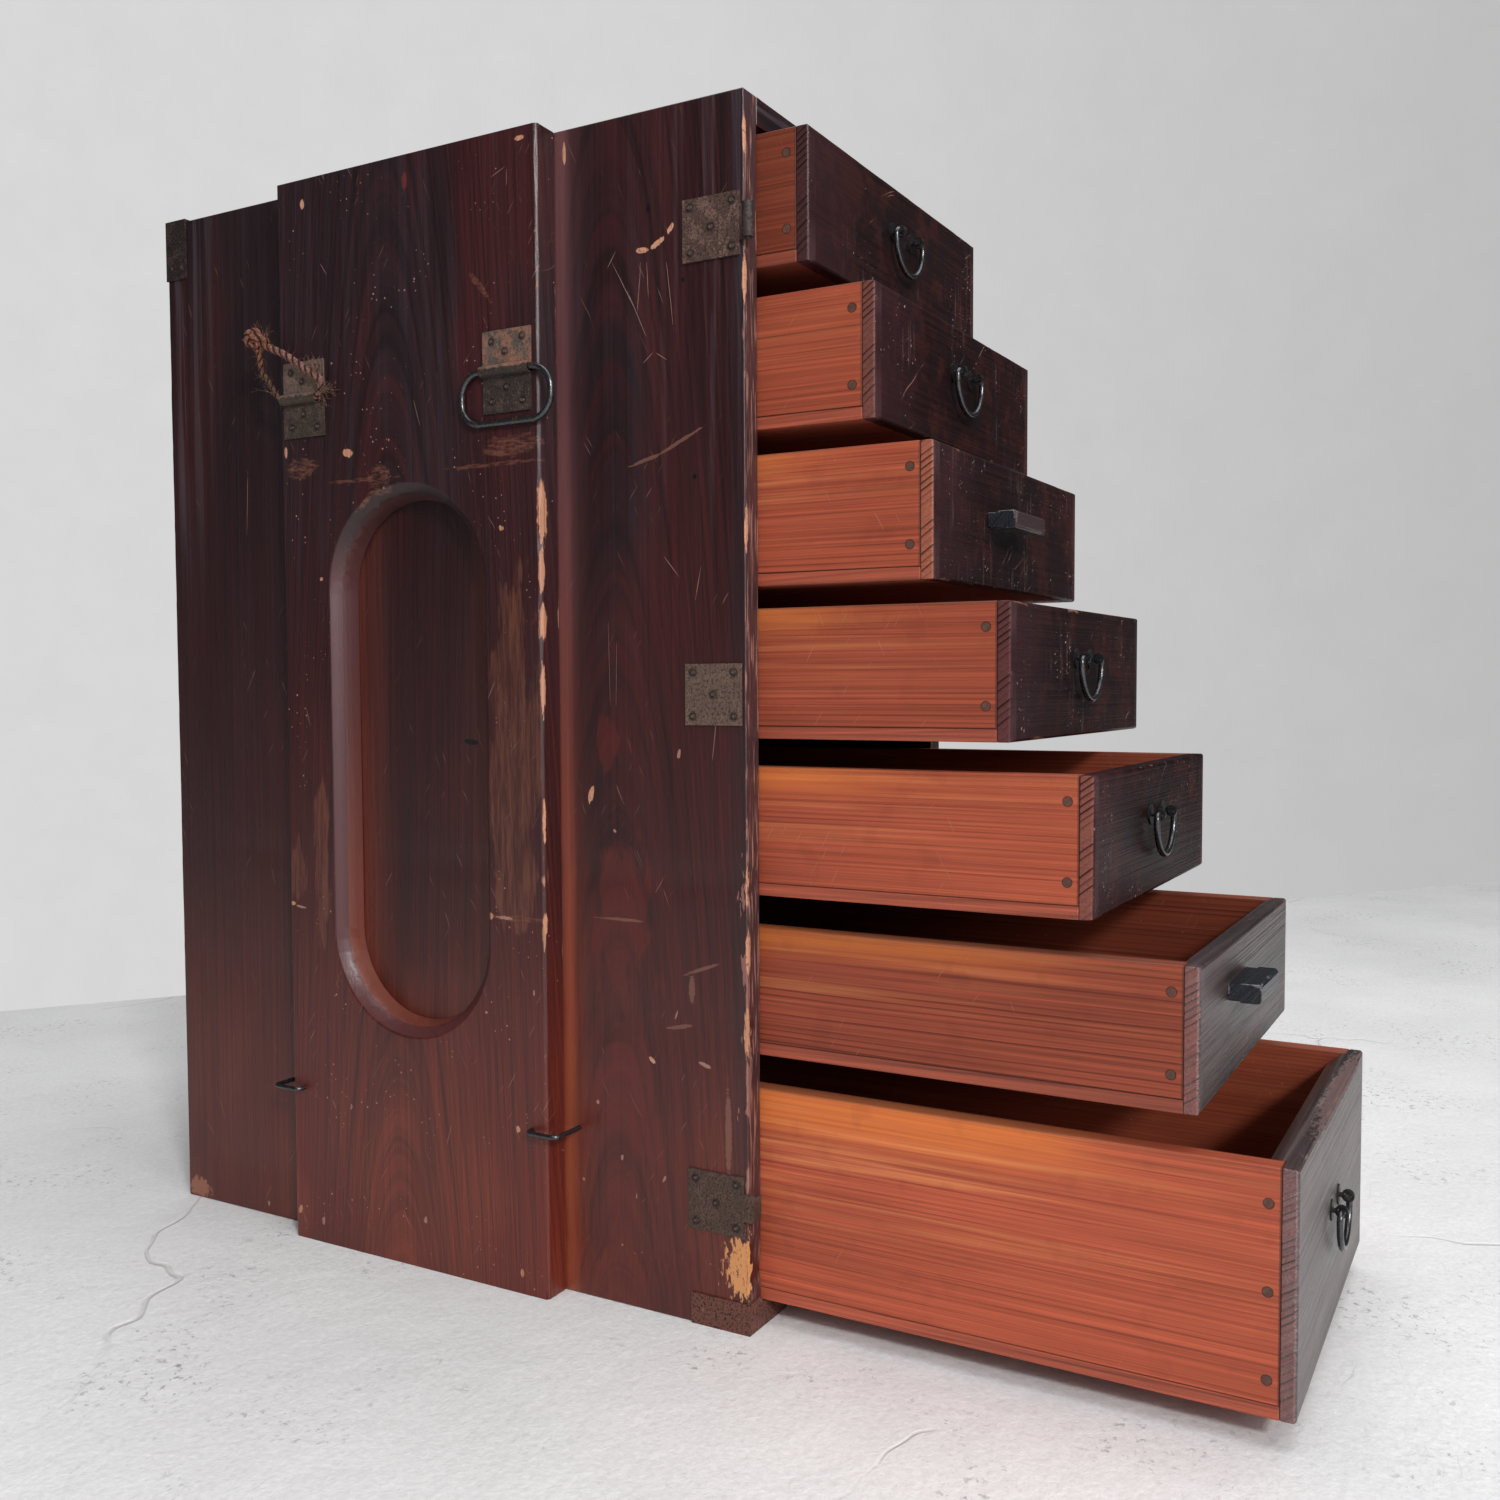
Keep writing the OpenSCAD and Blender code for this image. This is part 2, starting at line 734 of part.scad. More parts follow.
module drawer_back(i) {
    color(drawer_wood)
        at_drawer(i)
            difference() {
                block([-tongue_w / 2, drawer_l - dback_t, dbottom_t],
                      [tongue_w / 2, drawer_l, height_of(i) - dback_drop]);
                peg_bores(i);
            }
}

module drawer_bottom(i) {
    color(drawer_wood)
        at_drawer(i)
            block([-drawer_w / 2, front_lap, 0], [drawer_w / 2, drawer_l, dbottom_t]);
}

// Almond-shaped plate behind an eye, in the XY plane
module rosette() {
    r = (rosette_h * rosette_h + rosette_w * rosette_w) / (4 * rosette_w);
    linear_extrude(rosette_t)
        difference() {
            intersection_for (s = [-1, 1])
                translate([s * (r - rosette_w / 2), 0]) circle(r);
            circle(d = shank_d + 2 * shank_fit);
        }
}

// Eye bent round the bail's end, its shank through the front and clinched inside
module pull_eye() {
    difference() {
        union() {
            translate([-eye_w / 2, -pull_proud, 0])
                rotate([0, 90, 0])
                    cylinder(h = eye_w, r = eye_bore_r + eye_strip);
            translate([0, -pull_proud + eye_bore_r + eye_strip / 2, 0])
                rotate([-90, 0, 0])
                    cylinder(h = front_t + pull_proud - eye_bore_r, d = shank_d);
            block([-shank_d / 2, front_t, -clinch_l], [shank_d / 2, front_t + 1, clinch_l]);
        }
        translate([-eye_w / 2 - 1, -pull_proud, 0])
            rotate([0, 90, 0])
                cylinder(h = eye_w + 2, r = eye_bore_r);
    }
}

// Wooden pegs that hold the sides to the front and back, cut flush outside
module drawer_pegs(i) {
    color(peg_wood)
        at_drawer(i)
            peg_set(i, peg_d, peg_l, 0);
}

// The two eyes of a bail and the plates behind them
module drawer_eyes(i) {
    color(dark_iron)
        at_drawer(i)
            for (s = [-1, 1])
                translate([s * eye_spacing / 2, 0, pull_z(i)]) {
                    pull_eye();
                    stand_front() rosette();
                }
}

// Round iron bail with its ends turned inwards through the eyes
module drawer_bail(i) {
    r = bail_shoulder;
    b = bail_bow;
    color(dark_iron)
        at_drawer(i)
            translate([0, -pull_proud, pull_z(i)])
                stand_front() {
                    for (s = [-1, 1])
                        bar([s * bail_pin_in, 0], [s * (b - r), 0], bail_d);
                    bend([b - r, -r], r, 0, 90, bail_d);
                    bend([-b + r, -r], r, 90, 180, bail_d);
                    bend([0, -r], b, 180, 360, bail_d);
                }
}

// Plain wooden block that stands in for a lost pull
module drawer_block(i) {
    k = block_index(i);
    c = 1.5;
    hh = block_h / 2;
    nh = hh - block_cut;
    color(block_wood)
        at_drawer(i)
            translate([block_side[k] - block_l / 2, 0, block_up[k]])
                rotate([90, 0, 90])
                    linear_extrude(block_l)
                        polygon([
                            [0, -nh], [0, nh], [-block_neck, nh], [-block_neck - block_cut, hh],
                            [-block_proud + c, hh], [-block_proud, hh - c],
                            [-block_proud, -hh + c], [-block_proud + c, -hh],
                            [-block_neck - block_cut, -hh], [-block_neck, -nh]
                        ]);
}

strap_side_board();
far_side_board();
top_board();
bottom_board();
back_planks();
strap_pad();
drawer_runners();
hinge_leaves();
corner_straps();
strap_plates();
staples();
strap_ring();
rope_remnant();
drawer_front(0);  // drawer_1_front
drawer_sides(0);  // drawer_1_sides
drawer_back(0);  // drawer_1_back
drawer_bottom(0);  // drawer_1_bottom
drawer_pegs(0);  // drawer_1_pegs
drawer_eyes(0);  // drawer_1_eyes
drawer_bail(0);  // drawer_1_bail
drawer_front(1);  // drawer_2_front
drawer_sides(1);  // drawer_2_sides
drawer_back(1);  // drawer_2_back
drawer_bottom(1);  // drawer_2_bottom
drawer_pegs(1);  // drawer_2_pegs
drawer_eyes(1);  // drawer_2_eyes
drawer_bail(1);  // drawer_2_bail
drawer_front(2);  // drawer_3_front
drawer_sides(2);  // drawer_3_sides
drawer_back(2);  // drawer_3_back
drawer_bottom(2);  // drawer_3_bottom
drawer_pegs(2);  // drawer_3_pegs
drawer_block(2);  // drawer_3_block
drawer_front(3);  // drawer_4_front
drawer_sides(3);  // drawer_4_sides
drawer_back(3);  // drawer_4_back
drawer_bottom(3);  // drawer_4_bottom
drawer_pegs(3);  // drawer_4_pegs
drawer_eyes(3);  // drawer_4_eyes
drawer_bail(3);  // drawer_4_bail
drawer_front(4);  // drawer_5_front
drawer_sides(4);  // drawer_5_sides
drawer_back(4);  // drawer_5_back
drawer_bottom(4);  // drawer_5_bottom
drawer_pegs(4);  // drawer_5_pegs
drawer_eyes(4);  // drawer_5_eyes
drawer_bail(4);  // drawer_5_bail
drawer_front(5);  // drawer_6_front
drawer_sides(5);  // drawer_6_sides
drawer_back(5);  // drawer_6_back
drawer_bottom(5);  // drawer_6_bottom
drawer_pegs(5);  // drawer_6_pegs
drawer_block(5);  // drawer_6_block
drawer_front(6);  // drawer_7_front
drawer_sides(6);  // drawer_7_sides
drawer_back(6);  // drawer_7_back
drawer_bottom(6);  // drawer_7_bottom
drawer_pegs(6);  // drawer_7_pegs
drawer_eyes(6);  // drawer_7_eyes
drawer_bail(6);  // drawer_7_bail
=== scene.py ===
"""Looks for the portable drawer cabinet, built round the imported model. Metres, Z up."""

import json
import random
from functools import partial
from math import cos, pi, radians, sin

import bmesh
import bpy
from mathutils import Matrix, Vector, noise


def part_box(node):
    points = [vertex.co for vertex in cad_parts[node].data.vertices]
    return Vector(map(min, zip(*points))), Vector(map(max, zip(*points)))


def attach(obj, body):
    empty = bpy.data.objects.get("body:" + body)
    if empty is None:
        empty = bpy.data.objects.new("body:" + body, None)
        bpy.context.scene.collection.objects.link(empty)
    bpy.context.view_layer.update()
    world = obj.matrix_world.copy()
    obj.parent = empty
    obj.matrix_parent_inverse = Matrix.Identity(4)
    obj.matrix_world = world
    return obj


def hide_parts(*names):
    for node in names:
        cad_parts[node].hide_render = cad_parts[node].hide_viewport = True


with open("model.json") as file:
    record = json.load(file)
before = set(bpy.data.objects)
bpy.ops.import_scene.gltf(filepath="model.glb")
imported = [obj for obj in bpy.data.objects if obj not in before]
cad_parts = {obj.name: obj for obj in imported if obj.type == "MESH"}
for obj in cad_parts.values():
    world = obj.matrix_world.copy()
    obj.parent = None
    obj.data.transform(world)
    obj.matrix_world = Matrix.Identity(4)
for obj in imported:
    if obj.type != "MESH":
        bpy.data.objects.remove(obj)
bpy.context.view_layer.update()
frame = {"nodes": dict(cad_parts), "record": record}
scene = bpy.context.scene
node_body = {n: b for b, ns in frame["record"]["behaviour"]["bodies"].items() for n in ns}
node_slot = {s["node"]: s["material_slot"] for s in frame["record"]["subparts"]}

CASE_X = 0.144          # half width of the case
CASE_Y = 0.236          # half depth of the case
PAD_X = -0.162          # face of the strap pad
PAD_Y = 0.107           # half width of the strap pad
FRONT_T = 0.02          # thickness of a drawer's front board
OPEN = 1                # draws out a board's box so that one direction's arrises don't count


# Camera
cam_data = bpy.data.cameras.new("camera")
cam_data.sensor_fit = "HORIZONTAL"
cam_data.sensor_width = 36
cam_data.lens = 34.196
cam_data.shift_x = -0.0001
cam_data.shift_y = 0.0015
cam_data.clip_end = 50
CAM_AT = Vector((-0.83815, -0.63, 0.37205))
yaw, pitch, roll = (radians(a) for a in (29.4293, -2.7203, -0.2533))
ahead = Vector((cos(pitch) * cos(yaw), cos(pitch) * sin(yaw), sin(pitch)))
level = Vector((sin(yaw), -cos(yaw), 0))
above = level.cross(ahead)
cam_right = cos(roll) * level + sin(roll) * above
cam_up = -sin(roll) * level + cos(roll) * above
camera = bpy.data.objects.new("camera", cam_data)
facing = Matrix((cam_right, cam_up, -ahead)).transposed().to_4x4()
camera.matrix_world = Matrix.Translation(CAM_AT) @ facing
scene.collection.objects.link(camera)
scene.camera = camera
scene.view_settings.view_transform = "Standard"


# Node helpers
def srgb(r, g, b):
    """Linear colour from 0 to 255 display values."""
    return tuple(((c / 255 + 0.055) / 1.055) ** 2.4 if c > 10.3 else c / 255 / 12.92 for c in (r, g, b))


def tinted(colour, by):
    return tuple(c * by for c in colour)


class Tree:
    """Short calls for building a node tree."""

    def __init__(self, tree):
        self.t = tree

    def put(self, socket, value):
        if isinstance(value, bpy.types.NodeSocket):
            self.t.links.new(value, socket)
        elif socket.type == "RGBA" and len(value) == 3:
            socket.default_value = (*value, 1)
        else:
            socket.default_value = value

    def node(self, kind, ins=None, **props):
        n = self.t.nodes.new("ShaderNode" + kind)
        for key, value in props.items():
            setattr(n, key, value)
        for key, value in (ins or {}).items():
            self.put(n.inputs[key], value)
        return n

    def math(self, op, a, b=0, c=0, clamp=False):
        return self.node("Math", {0: a, 1: b, 2: c}, operation=op, use_clamp=clamp).outputs[0]

    def add(self, a, b):
        return self.math("ADD", a, b)

    def sub(self, a, b):
        return self.math("SUBTRACT", a, b)

    def mul(self, a, b, clamp=False):
        return self.math("MULTIPLY", a, b, clamp=clamp)

    def either(self, a, b):
        return self.math("MAXIMUM", a, b)

    def least(self, a, b):
        return self.math("MINIMUM", a, b)

    def abs(self, a):
        return self.math("ABSOLUTE", a)

    def sway(self, value, by):
        """A value of 0 to 1, moved to lie round 0 and scaled."""
        return self.mul(self.sub(value, 0.5), by)

    def vec(self, op, a, b=(0, 0, 0)):
        n = self.node("VectorMath", {0: a, 1: b}, operation=op)
        return n.outputs[1] if op in ("LENGTH", "DOT_PRODUCT", "DISTANCE") else n.outputs[0]

    def mix(self, fac, a, b, blend="MIX"):
        n = self.node("Mix", {0: fac, 6: a, 7: b}, data_type="RGBA", blend_type=blend)
        return n.outputs[2]

    def over(self, base, mask, amount, colour):
        """The colour laid over the base where the mask is."""
        return self.mix(self.mul(mask, amount), base, colour)

    def shade(self, colour, by):
        return self.mix(1, colour, self.grey(by), "MULTIPLY")

    def noise(self, vector, scale=1, detail=2, rough=0.5, color=False):
        """scale is one number, or one for each axis."""
        if isinstance(scale, tuple):
            vector, scale = self.vec("MULTIPLY", vector, scale), 1
        ins = {"Vector": vector, "Scale": scale, "Detail": detail, "Roughness": rough}
        return self.node("TexNoise", ins).outputs[1 if color else 0]

    def ramp(self, fac, stops):
        """Greys by place."""
        n = self.node("ValToRGB", {"Fac": fac})
        r = n.color_ramp
        while len(r.elements) < len(stops):
            r.elements.new(0.5)
        for e, (at, colour) in zip(r.elements, stops):
            e.position = at
            e.color = (colour, colour, colour, 1)
        return n.outputs[0]

    def step(self, value, low, high):
        """0 at low and 1 at high, smooth between; high may be the lower one."""
        ins = {"Value": value, "From Min": low, "From Max": high}
        return self.node("MapRange", ins, interpolation_type="SMOOTHSTEP").outputs[0]

    def band(self, value, middle, half, soft):
        """1 within half of the middle, fading over soft."""
        return self.step(self.abs(self.sub(value, middle)), half + soft, half)

    def split(self, vector):
        return self.node("SeparateXYZ", {0: vector}).outputs

    def join(self, x, y, z):
        return self.node("CombineXYZ", {0: x, 1: y, 2: z}).outputs[0]

    def grey(self, value):
        return self.join(value, value, value)


V, F = "NodeSocketVector", "NodeSocketFloat"


def new_group(name, inputs, outputs):
    """An empty node group: the group, its Tree, its inputs and its output node's sockets."""
    g = bpy.data.node_groups.new(name, "ShaderNodeTree")
    for in_out, sockets in (("INPUT", inputs), ("OUTPUT", outputs)):
        for n, kind in sockets:
            g.interface.new_socket(n, in_out=in_out, socket_type=kind)
    t = Tree(g)
    return g, t, g.nodes.new("NodeGroupInput").outputs, g.nodes.new("NodeGroupOutput").inputs


def make_grain_group():
    """Solid wood. P is along, across and deep into the board, in metres from its heart; the
    rings are flat sheets set by cycles a metre, bent into arches by Curve."""
    g, t, i, o = new_group("Grain", [("P", V), ("Pace", V), ("Curve", F), ("Wave", F)],
                           [(n, F) for n in ("Ring", "Vein", "Fibre", "Mottle", "Streak")])
    p = i["P"]
    along, across, _ = t.split(p)
    warp = t.sub(t.noise(p, (2.6, 15, 15), 3, 0.45), 0.5)
    phase = t.add(t.vec("DOT_PRODUCT", p, i["Pace"]), t.mul(i["Curve"], t.mul(across, across)))
    phase = t.add(phase, t.mul(warp, i["Wave"]))
    stops = [(0, 0), (0.4, 0.05), (0.66, 0.3), (0.86, 1), (0.94, 0.7), (1, 0)]
    ring = t.ramp(t.math("FRACT", phase), stops)
    weight = t.noise(t.join(phase, t.mul(along, 3), 0), 0.43, 2, 0.6)
    t.put(o["Ring"], t.mul(ring, t.step(weight, 0.34, 0.62)))
    t.put(o["Vein"], t.noise(t.join(t.mul(phase, 1.35), t.mul(along, 2.8), 0), 1, 4, 0.68))
    t.put(o["Fibre"], t.noise(p, (4, 760, 760), 3, 0.66))
    t.put(o["Mottle"], t.noise(p, (5, 22, 22), 3, 0.55))
    t.put(o["Streak"], t.noise(p, (3.2, 150, 150), 3, 0.6))
    return g


def make_edge_group():
    """Distance in metres from a surface point of a box to the box's nearest arris."""
    g, t, i, o = new_group("EdgeDistance", [("P", V), ("Low", V), ("High", V)], [("Distance", F)])
    d = t.split(t.vec("MINIMUM", t.vec("SUBTRACT", i["P"], i["Low"]),
                      t.vec("SUBTRACT", i["High"], i["P"])))
    small = t.least(t.least(d[0], d[1]), d[2])
    large = t.either(t.either(d[0], d[1]), d[2])
    t.put(o["Distance"], t.sub(t.sub(t.add(t.add(d[0], d[1]), d[2]), small), large))
    return g


def make_scratch_group():
    """Thin, nearly straight scratches at two angles, in loose clusters."""
    g, t, i, o = new_group("Scratch", [("P", V), ("Amount", F)], [("Mask", F)])
    bend = t.vec("SUBTRACT", t.noise(i["P"], 22, 1, 0.5, color=True), (0.5, 0.5, 0.5))
    p = t.vec("ADD", i["P"], t.vec("MULTIPLY", bend, (0.01, 0.01, 0.01)))
    best = None
    sets = (((0.5, 0.2, 0.3), 24, 900), ((-0.9, 0.7, -0.5), 30, 1100))
    for k, (turn, long, fine) in enumerate(sets):
        q = t.node("Mapping", {"Vector": p, "Rotation": turn}).outputs[0]
        q = t.vec("MULTIPLY", q, (long, fine, long * 1.6))
        gate = t.noise(t.vec("ADD", i["P"], (k * 3.1, 0, 0)), 12 + 4 * k, 1)
        s = t.mul(t.step(t.noise(q, 1, 1, 0.4), 0.74, 0.79), t.step(gate, 0.5, 0.6))
        best = s if best is None else t.either(best, s)
    t.put(o["Mask"], t.mul(best, i["Amount"]))
    return g


def make_speck_group():
    """Scattered small nicks and specks of many sizes."""
    g, t, i, o = new_group("Specks", [("P", V), ("Scale", F), ("Size", F)], [("Mask", F), ("Tone", F)])
    n = t.node("TexVoronoi", {"Vector": i["P"], "Scale": i["Scale"]})
    pick = t.split(n.outputs["Color"])
    group = t.step(t.noise(i["P"], 24, 2), 0.42, 0.62)
    radius = t.mul(t.mul(t.math("POWER", pick[0], 8), i["Size"]), t.add(t.mul(group, 0.75), 0.25))
    t.put(o["Mask"], t.step(t.sub(n.outputs["Distance"], radius), 0, -0.05))
    t.put(o["Tone"], pick[1])
    return g


def make_mark_group():
    """An ellipsoid with its middle at At, its edge frayed by Grit."""
    g, t, i, o = new_group("Mark", [("P", V), ("At", V), ("Radii", V), ("Turn", V), ("Grit", F)],
                           [("Mask", F)])
    ins = {"Vector": i["P"], "Location": i["At"], "Rotation": i["Turn"], "Scale": i["Radii"]}
    q = t.node("Mapping", ins, vector_type="TEXTURE").outputs[0]
    t.put(o["Mask"], t.step(t.add(t.vec("LENGTH", q), i["Grit"]), 1.1, 0.85))
    return g


GRAIN = make_grain_group()
EDGE = make_edge_group()
SCRATCH = make_scratch_group()
SPECKS = make_speck_group()
MARK = make_mark_group()


class Material(Tree):
    """A material with a Principled shader and the part frame's coordinates."""

    def __init__(self, name):
        self.mat = bpy.data.materials.new(name)
        self.mat.use_nodes = True
        super().__init__(self.mat.node_tree)
        self.t.nodes.clear()
        self.bsdf = self.node("BsdfPrincipled")
        self.node("OutputMaterial", {0: self.bsdf.outputs[0]})
        self.p = self.node("TexCoord").outputs["Object"]
        self.x, self.y, self.z = self.split(self.p)
        self.base = None        # the base colour so far

    def set(self, **sockets):
        for key, value in sockets.items():
            self.put(self.bsdf.inputs[key.replace("_", " ")], value)

    def cover(self, mask, colour):
        self.base = self.mix(mask, self.base, colour)

    def lay(self, mask, amount, colour):
        self.base = self.over(self.base, mask, amount, colour)

    def group(self, tree, **ins):
        return self.node("Group", ins, node_tree=tree).outputs

    def bump(self, height, strength, distance):
        ins = {"Height": height, "Strength": strength, "Distance": distance}
        return self.node("Bump", ins).outputs[0]

    def patch(self, scale, detail, rough, low, high):
        """Patches of noise: 0 where it is at low and 1 at high."""
        return self.step(self.noise(self.p, scale, detail, rough), low, high)

    def edge(self, low, high, mirror=False):
        p = self.p
        if mirror:
            p = self.join(self.abs(self.x), self.y, self.z)
        return self.group(EDGE, P=p, Low=tuple(low), High=tuple(high))[0]

    def marks(self, rows, ragged=0.8, grit=(300, 300, 300), about="X"):
        """The union of frayed ellipsoids, each given as place, radii and turn about one axis."""
        n = self.sway(self.noise(self.p, grit, 3, 0.6), ragged)
        best = None
        for at, radii, turn in rows:
            spin = tuple(turn if a == about else 0 for a in "XYZ")
            one = self.group(MARK, P=self.p, At=at, Radii=radii, Turn=spin, Grit=n)[0]
            best = one if best is None else self.either(best, one)
        return best


# Board geometry
def clean_copy(node, merge):
    """The node's mesh with shared corners and whole flat faces."""
    bm = bmesh.new()
    bm.from_mesh(frame["nodes"][node].data)
    bmesh.ops.remove_doubles(bm, verts=bm.verts, dist=merge)
    bmesh.ops.dissolve_limit(bm, angle_limit=radians(0.3), verts=bm.verts, edges=bm.edges)
    return bm


def outer_arrises(bm, shortest):
    return [e for e in bm.edges
            if len(e.link_faces) == 2 and e.is_convex and e.calc_length() > shortest
            and e.calc_face_angle(0) > radians(35)]


def slice_along(bm, axis, pitch, seed):
    """Cuts across the grain, unevenly, so that the arrises can be roughened."""
    k = "XYZ".index(axis)
    normal = Vector([1 if n == k else 0 for n in range(3)])
    lo = min(v.co[k] for v in bm.verts)
    hi = max(v.co[k] for v in bm.verts)
    count = max(2, int((hi - lo) / pitch))
    for n in range(1, count):
        wobble = noise.noise(Vector((seed, n * 1.37, 0.4))) * 0.35
        at = lo + (hi - lo) * (n + wobble) / count
        bmesh.ops.bisect_plane(bm, geom=bm.verts[:] + bm.edges[:] + bm.faces[:], dist=1e-7,
                               plane_co=normal * at, plane_no=normal)


def roughen(bm, amount, seed, dents):
    """Wears the outer arrises inwards by noise, and presses in the named dents."""
    bm.normal_update()
    lo = Vector([min(v.co[k] for v in bm.verts) for k in range(3)])
    hi = Vector([max(v.co[k] for v in bm.verts) for k in range(3)])
    moves = []
    for v in bm.verts:
        n = v.normal
        w = min(1, (1 - max(abs(n.x), abs(n.y), abs(n.z))) / 0.27)
        depth = sorted(min(v.co[k] - lo[k], hi[k] - v.co[k]) for k in range(3))[1]
        if w < 0.05 or depth > 0.004:
            continue
        a = noise.noise(v.co * 45 + Vector((seed, 0, 0))) * 0.5 + 0.5
        b = max(0, noise.noise(v.co * 170 + Vector((0, seed, 3)))) ** 2
        push = w * amount * (0.5 * a * a + 1.7 * b)
        for centre, radius, deep in dents:
            d = (v.co - Vector(centre)).length / radius
            if d < 1:
                push += deep * (1 - d * d) * (0.6 + 0.7 * noise.noise(v.co * 300))
        moves.append((v, v.co - n * push))
    for v, co in moves:
        v.co = co


def add_piece(name, bm, mat, node, sharp=42, weighted=True):
    """Puts a mesh into the scene in place of a node, on the node's body."""
    me = bpy.data.meshes.new(name)
    bm.normal_update()
    bm.to_mesh(me)
    bm.free()
    me.materials.append(mat)
    ob = bpy.data.objects.new(name, me)
    scene.collection.objects.link(ob)
    me.shade_smooth()
    me.set_sharp_from_angle(angle=radians(sharp))
    if weighted:
        ob.modifiers.new("weighted", "WEIGHTED_NORMAL").keep_sharp = True
    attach(ob, node_body[node])
    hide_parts(node)
    return ob


def board(node, mat, axis, bevel=0.0008, pitch=0.009, amount=0.0005, seed=1, dents=(),
          merge=1e-6, clamp=True):
    """Stands a worn copy of a wooden node in its place."""
    bm = clean_copy(node, merge)
    bmesh.ops.bevel(bm, geom=outer_arrises(bm, 0.003), offset=bevel, segments=2, profile=0.5,
                    affect="EDGES", clamp_overlap=clamp)
    slice_along(bm, axis, pitch, seed)
    roughen(bm, amount, seed, dents)
    return add_piece(node + "_wood", bm, mat, node)


def stretched(node, axis):
    """The node's box, drawn out along one axis so that only the arrises along it count."""
    lo, hi = (Vector(c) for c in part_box(node))
    k = "XYZ".index(axis)
    lo[k] -= OPEN
    hi[k] += OPEN
    return lo, hi


# Rope
# The route in part.scad, from the knot through the rear strap plate's fold and back
ROPE_AT = Vector((PAD_X, 0.084, 0.5595))
ROPE_ROUTE = [ROPE_AT + Vector(p) / 1000 for p in (
    (-9.5, 33, 39.4), (-9, 26.6, 36), (-8.5, 19, 32.5), (-8, 9.8, 28.4), (-7.2, 0.5, 22.7),
    (-6.4, -9, 16.9), (-5.8, -16.4, 12.1), (-5.3, -18.6, 9.9), (-4.8, -19.5, 6.6),
    (-4.1, -18.6, 3.3), (-3.2, -16.2, 0.9), (-2.4, -12.6, 0), (-2.3, -8, 0), (-2.3, 0, 0),
    (-2.3, 12, 0), (-2.3, 17.2, 0.1), (-2.6, 20.6, 1.8), (-3.6, 22.8, 5), (-5.2, 27, 12.6),
    (-6.8, 31.6, 20), (-8.2, 31.6, 27), (-9.3, 32, 33.5))]
FOLD = 13       # the route's point in the middle of the fold


def curve_through(points, steps):
    """Points of a Catmull-Rom curve."""
    out = []
    for i in range(len(points) - 1):
        a, b, c, d = (points[min(max(j, 0), len(points) - 1)] for j in (i - 1, i, i + 1, i + 2))
        for s in range(steps):
            t = s / steps
            out.append(0.5 * (2 * b + (c - a) * t + (2 * a - 5 * b + 4 * c - d) * t * t
                              + (3 * b - a - 3 * c + d) * t ** 3))
    return out + [points[-1].copy()]


def rope_tube(path, radius, plies, pitch, sides=28, closed=False):
    """A tube whose section has the lobes of twisted plies; radius is a function of 0 to 1."""
    bm = bmesh.new()
    ply = bm.verts.layers.float.new("ply")
    count = len(path)
    side = None
    rings = []
    run = 0
    for i, at in enumerate(path):
        if closed:
            ahead_at, behind = path[(i + 1) % count], path[i - 1]
        else:
            ahead_at, behind = path[min(i + 1, count - 1)], path[max(i - 1, 0)]
        t = (ahead_at - behind).normalized()
        if side is None:
            side = t.orthogonal()
        side = (side - t * side.dot(t)).normalized()
        other = t.cross(side)
        run += (at - path[i - 1]).length if i else 0
        r0 = radius(i / (count - 1))
        ring = []
        for k in range(sides):
            a = 2 * pi * k / sides
            twist = a - 2 * pi * run / pitch
            lobe = abs(cos(plies * twist / 2)) ** 0.8
            r = r0 * (0.7 + 0.3 * lobe + 0.03 * cos(11 * twist + 3 * sin(run * 900)))
            r += 0.00014 * noise.noise(at * 900 + Vector((k * 0.9, 0, 0)))
            ring.append(bm.verts.new(at + r * (cos(a) * side + sin(a) * other)))
            ring[-1][ply] = lobe
        rings.append(ring)
    pairs = list(zip(rings, rings[1:]))
    if closed:
        # the last ring meets the first one at the turn that lines them up best
        shift = min(range(sides), key=lambda s: (rings[-1][s].co - rings[0][0].co).length)
        pairs.append(([rings[-1][(k + shift) % sides] for k in range(sides)], rings[0]))
    for a, b in pairs:
        for k in range(sides):
            j = (k + 1) % sides
            bm.faces.new((a[k], a[j], b[j], b[k]))
    if not closed:
        bm.faces.new(list(reversed(rings[0])))
        bm.faces.new(rings[-1])
    return bm


def any_way(rng):
    return Vector([rng.uniform(-1, 1) for _ in range(3)])


def hair(bm, start, way, length, radius, curl, rng):
    """One loose fibre as a thin bent three-sided tube."""
    steps = 7
    at, way = start.copy(), way.normalized()
    bend = any_way(rng)
    side = way.orthogonal().normalized()
    rings = []
    for i in range(steps + 1):
        other = way.cross(side).normalized()
        r = radius * (1 - 0.7 * i / steps)
        rings.append([bm.verts.new(at + r * (cos(a) * side + sin(a) * other))
                      for a in (0, 2.1, 4.2)])
        at = at + way * length / steps
        way = (way + bend * curl / steps + any_way(rng) * 0.12).normalized()
        side = (side - way * side.dot(way)).normalized()
    for a, b in zip(rings, rings[1:]):
        for k in range(3):
            bm.faces.new((a[k], a[(k + 1) % 3], b[(k + 1) % 3], b[k]))
    bm.faces.new(list(reversed(rings[0])))
    bm.faces.new(rings[-1])


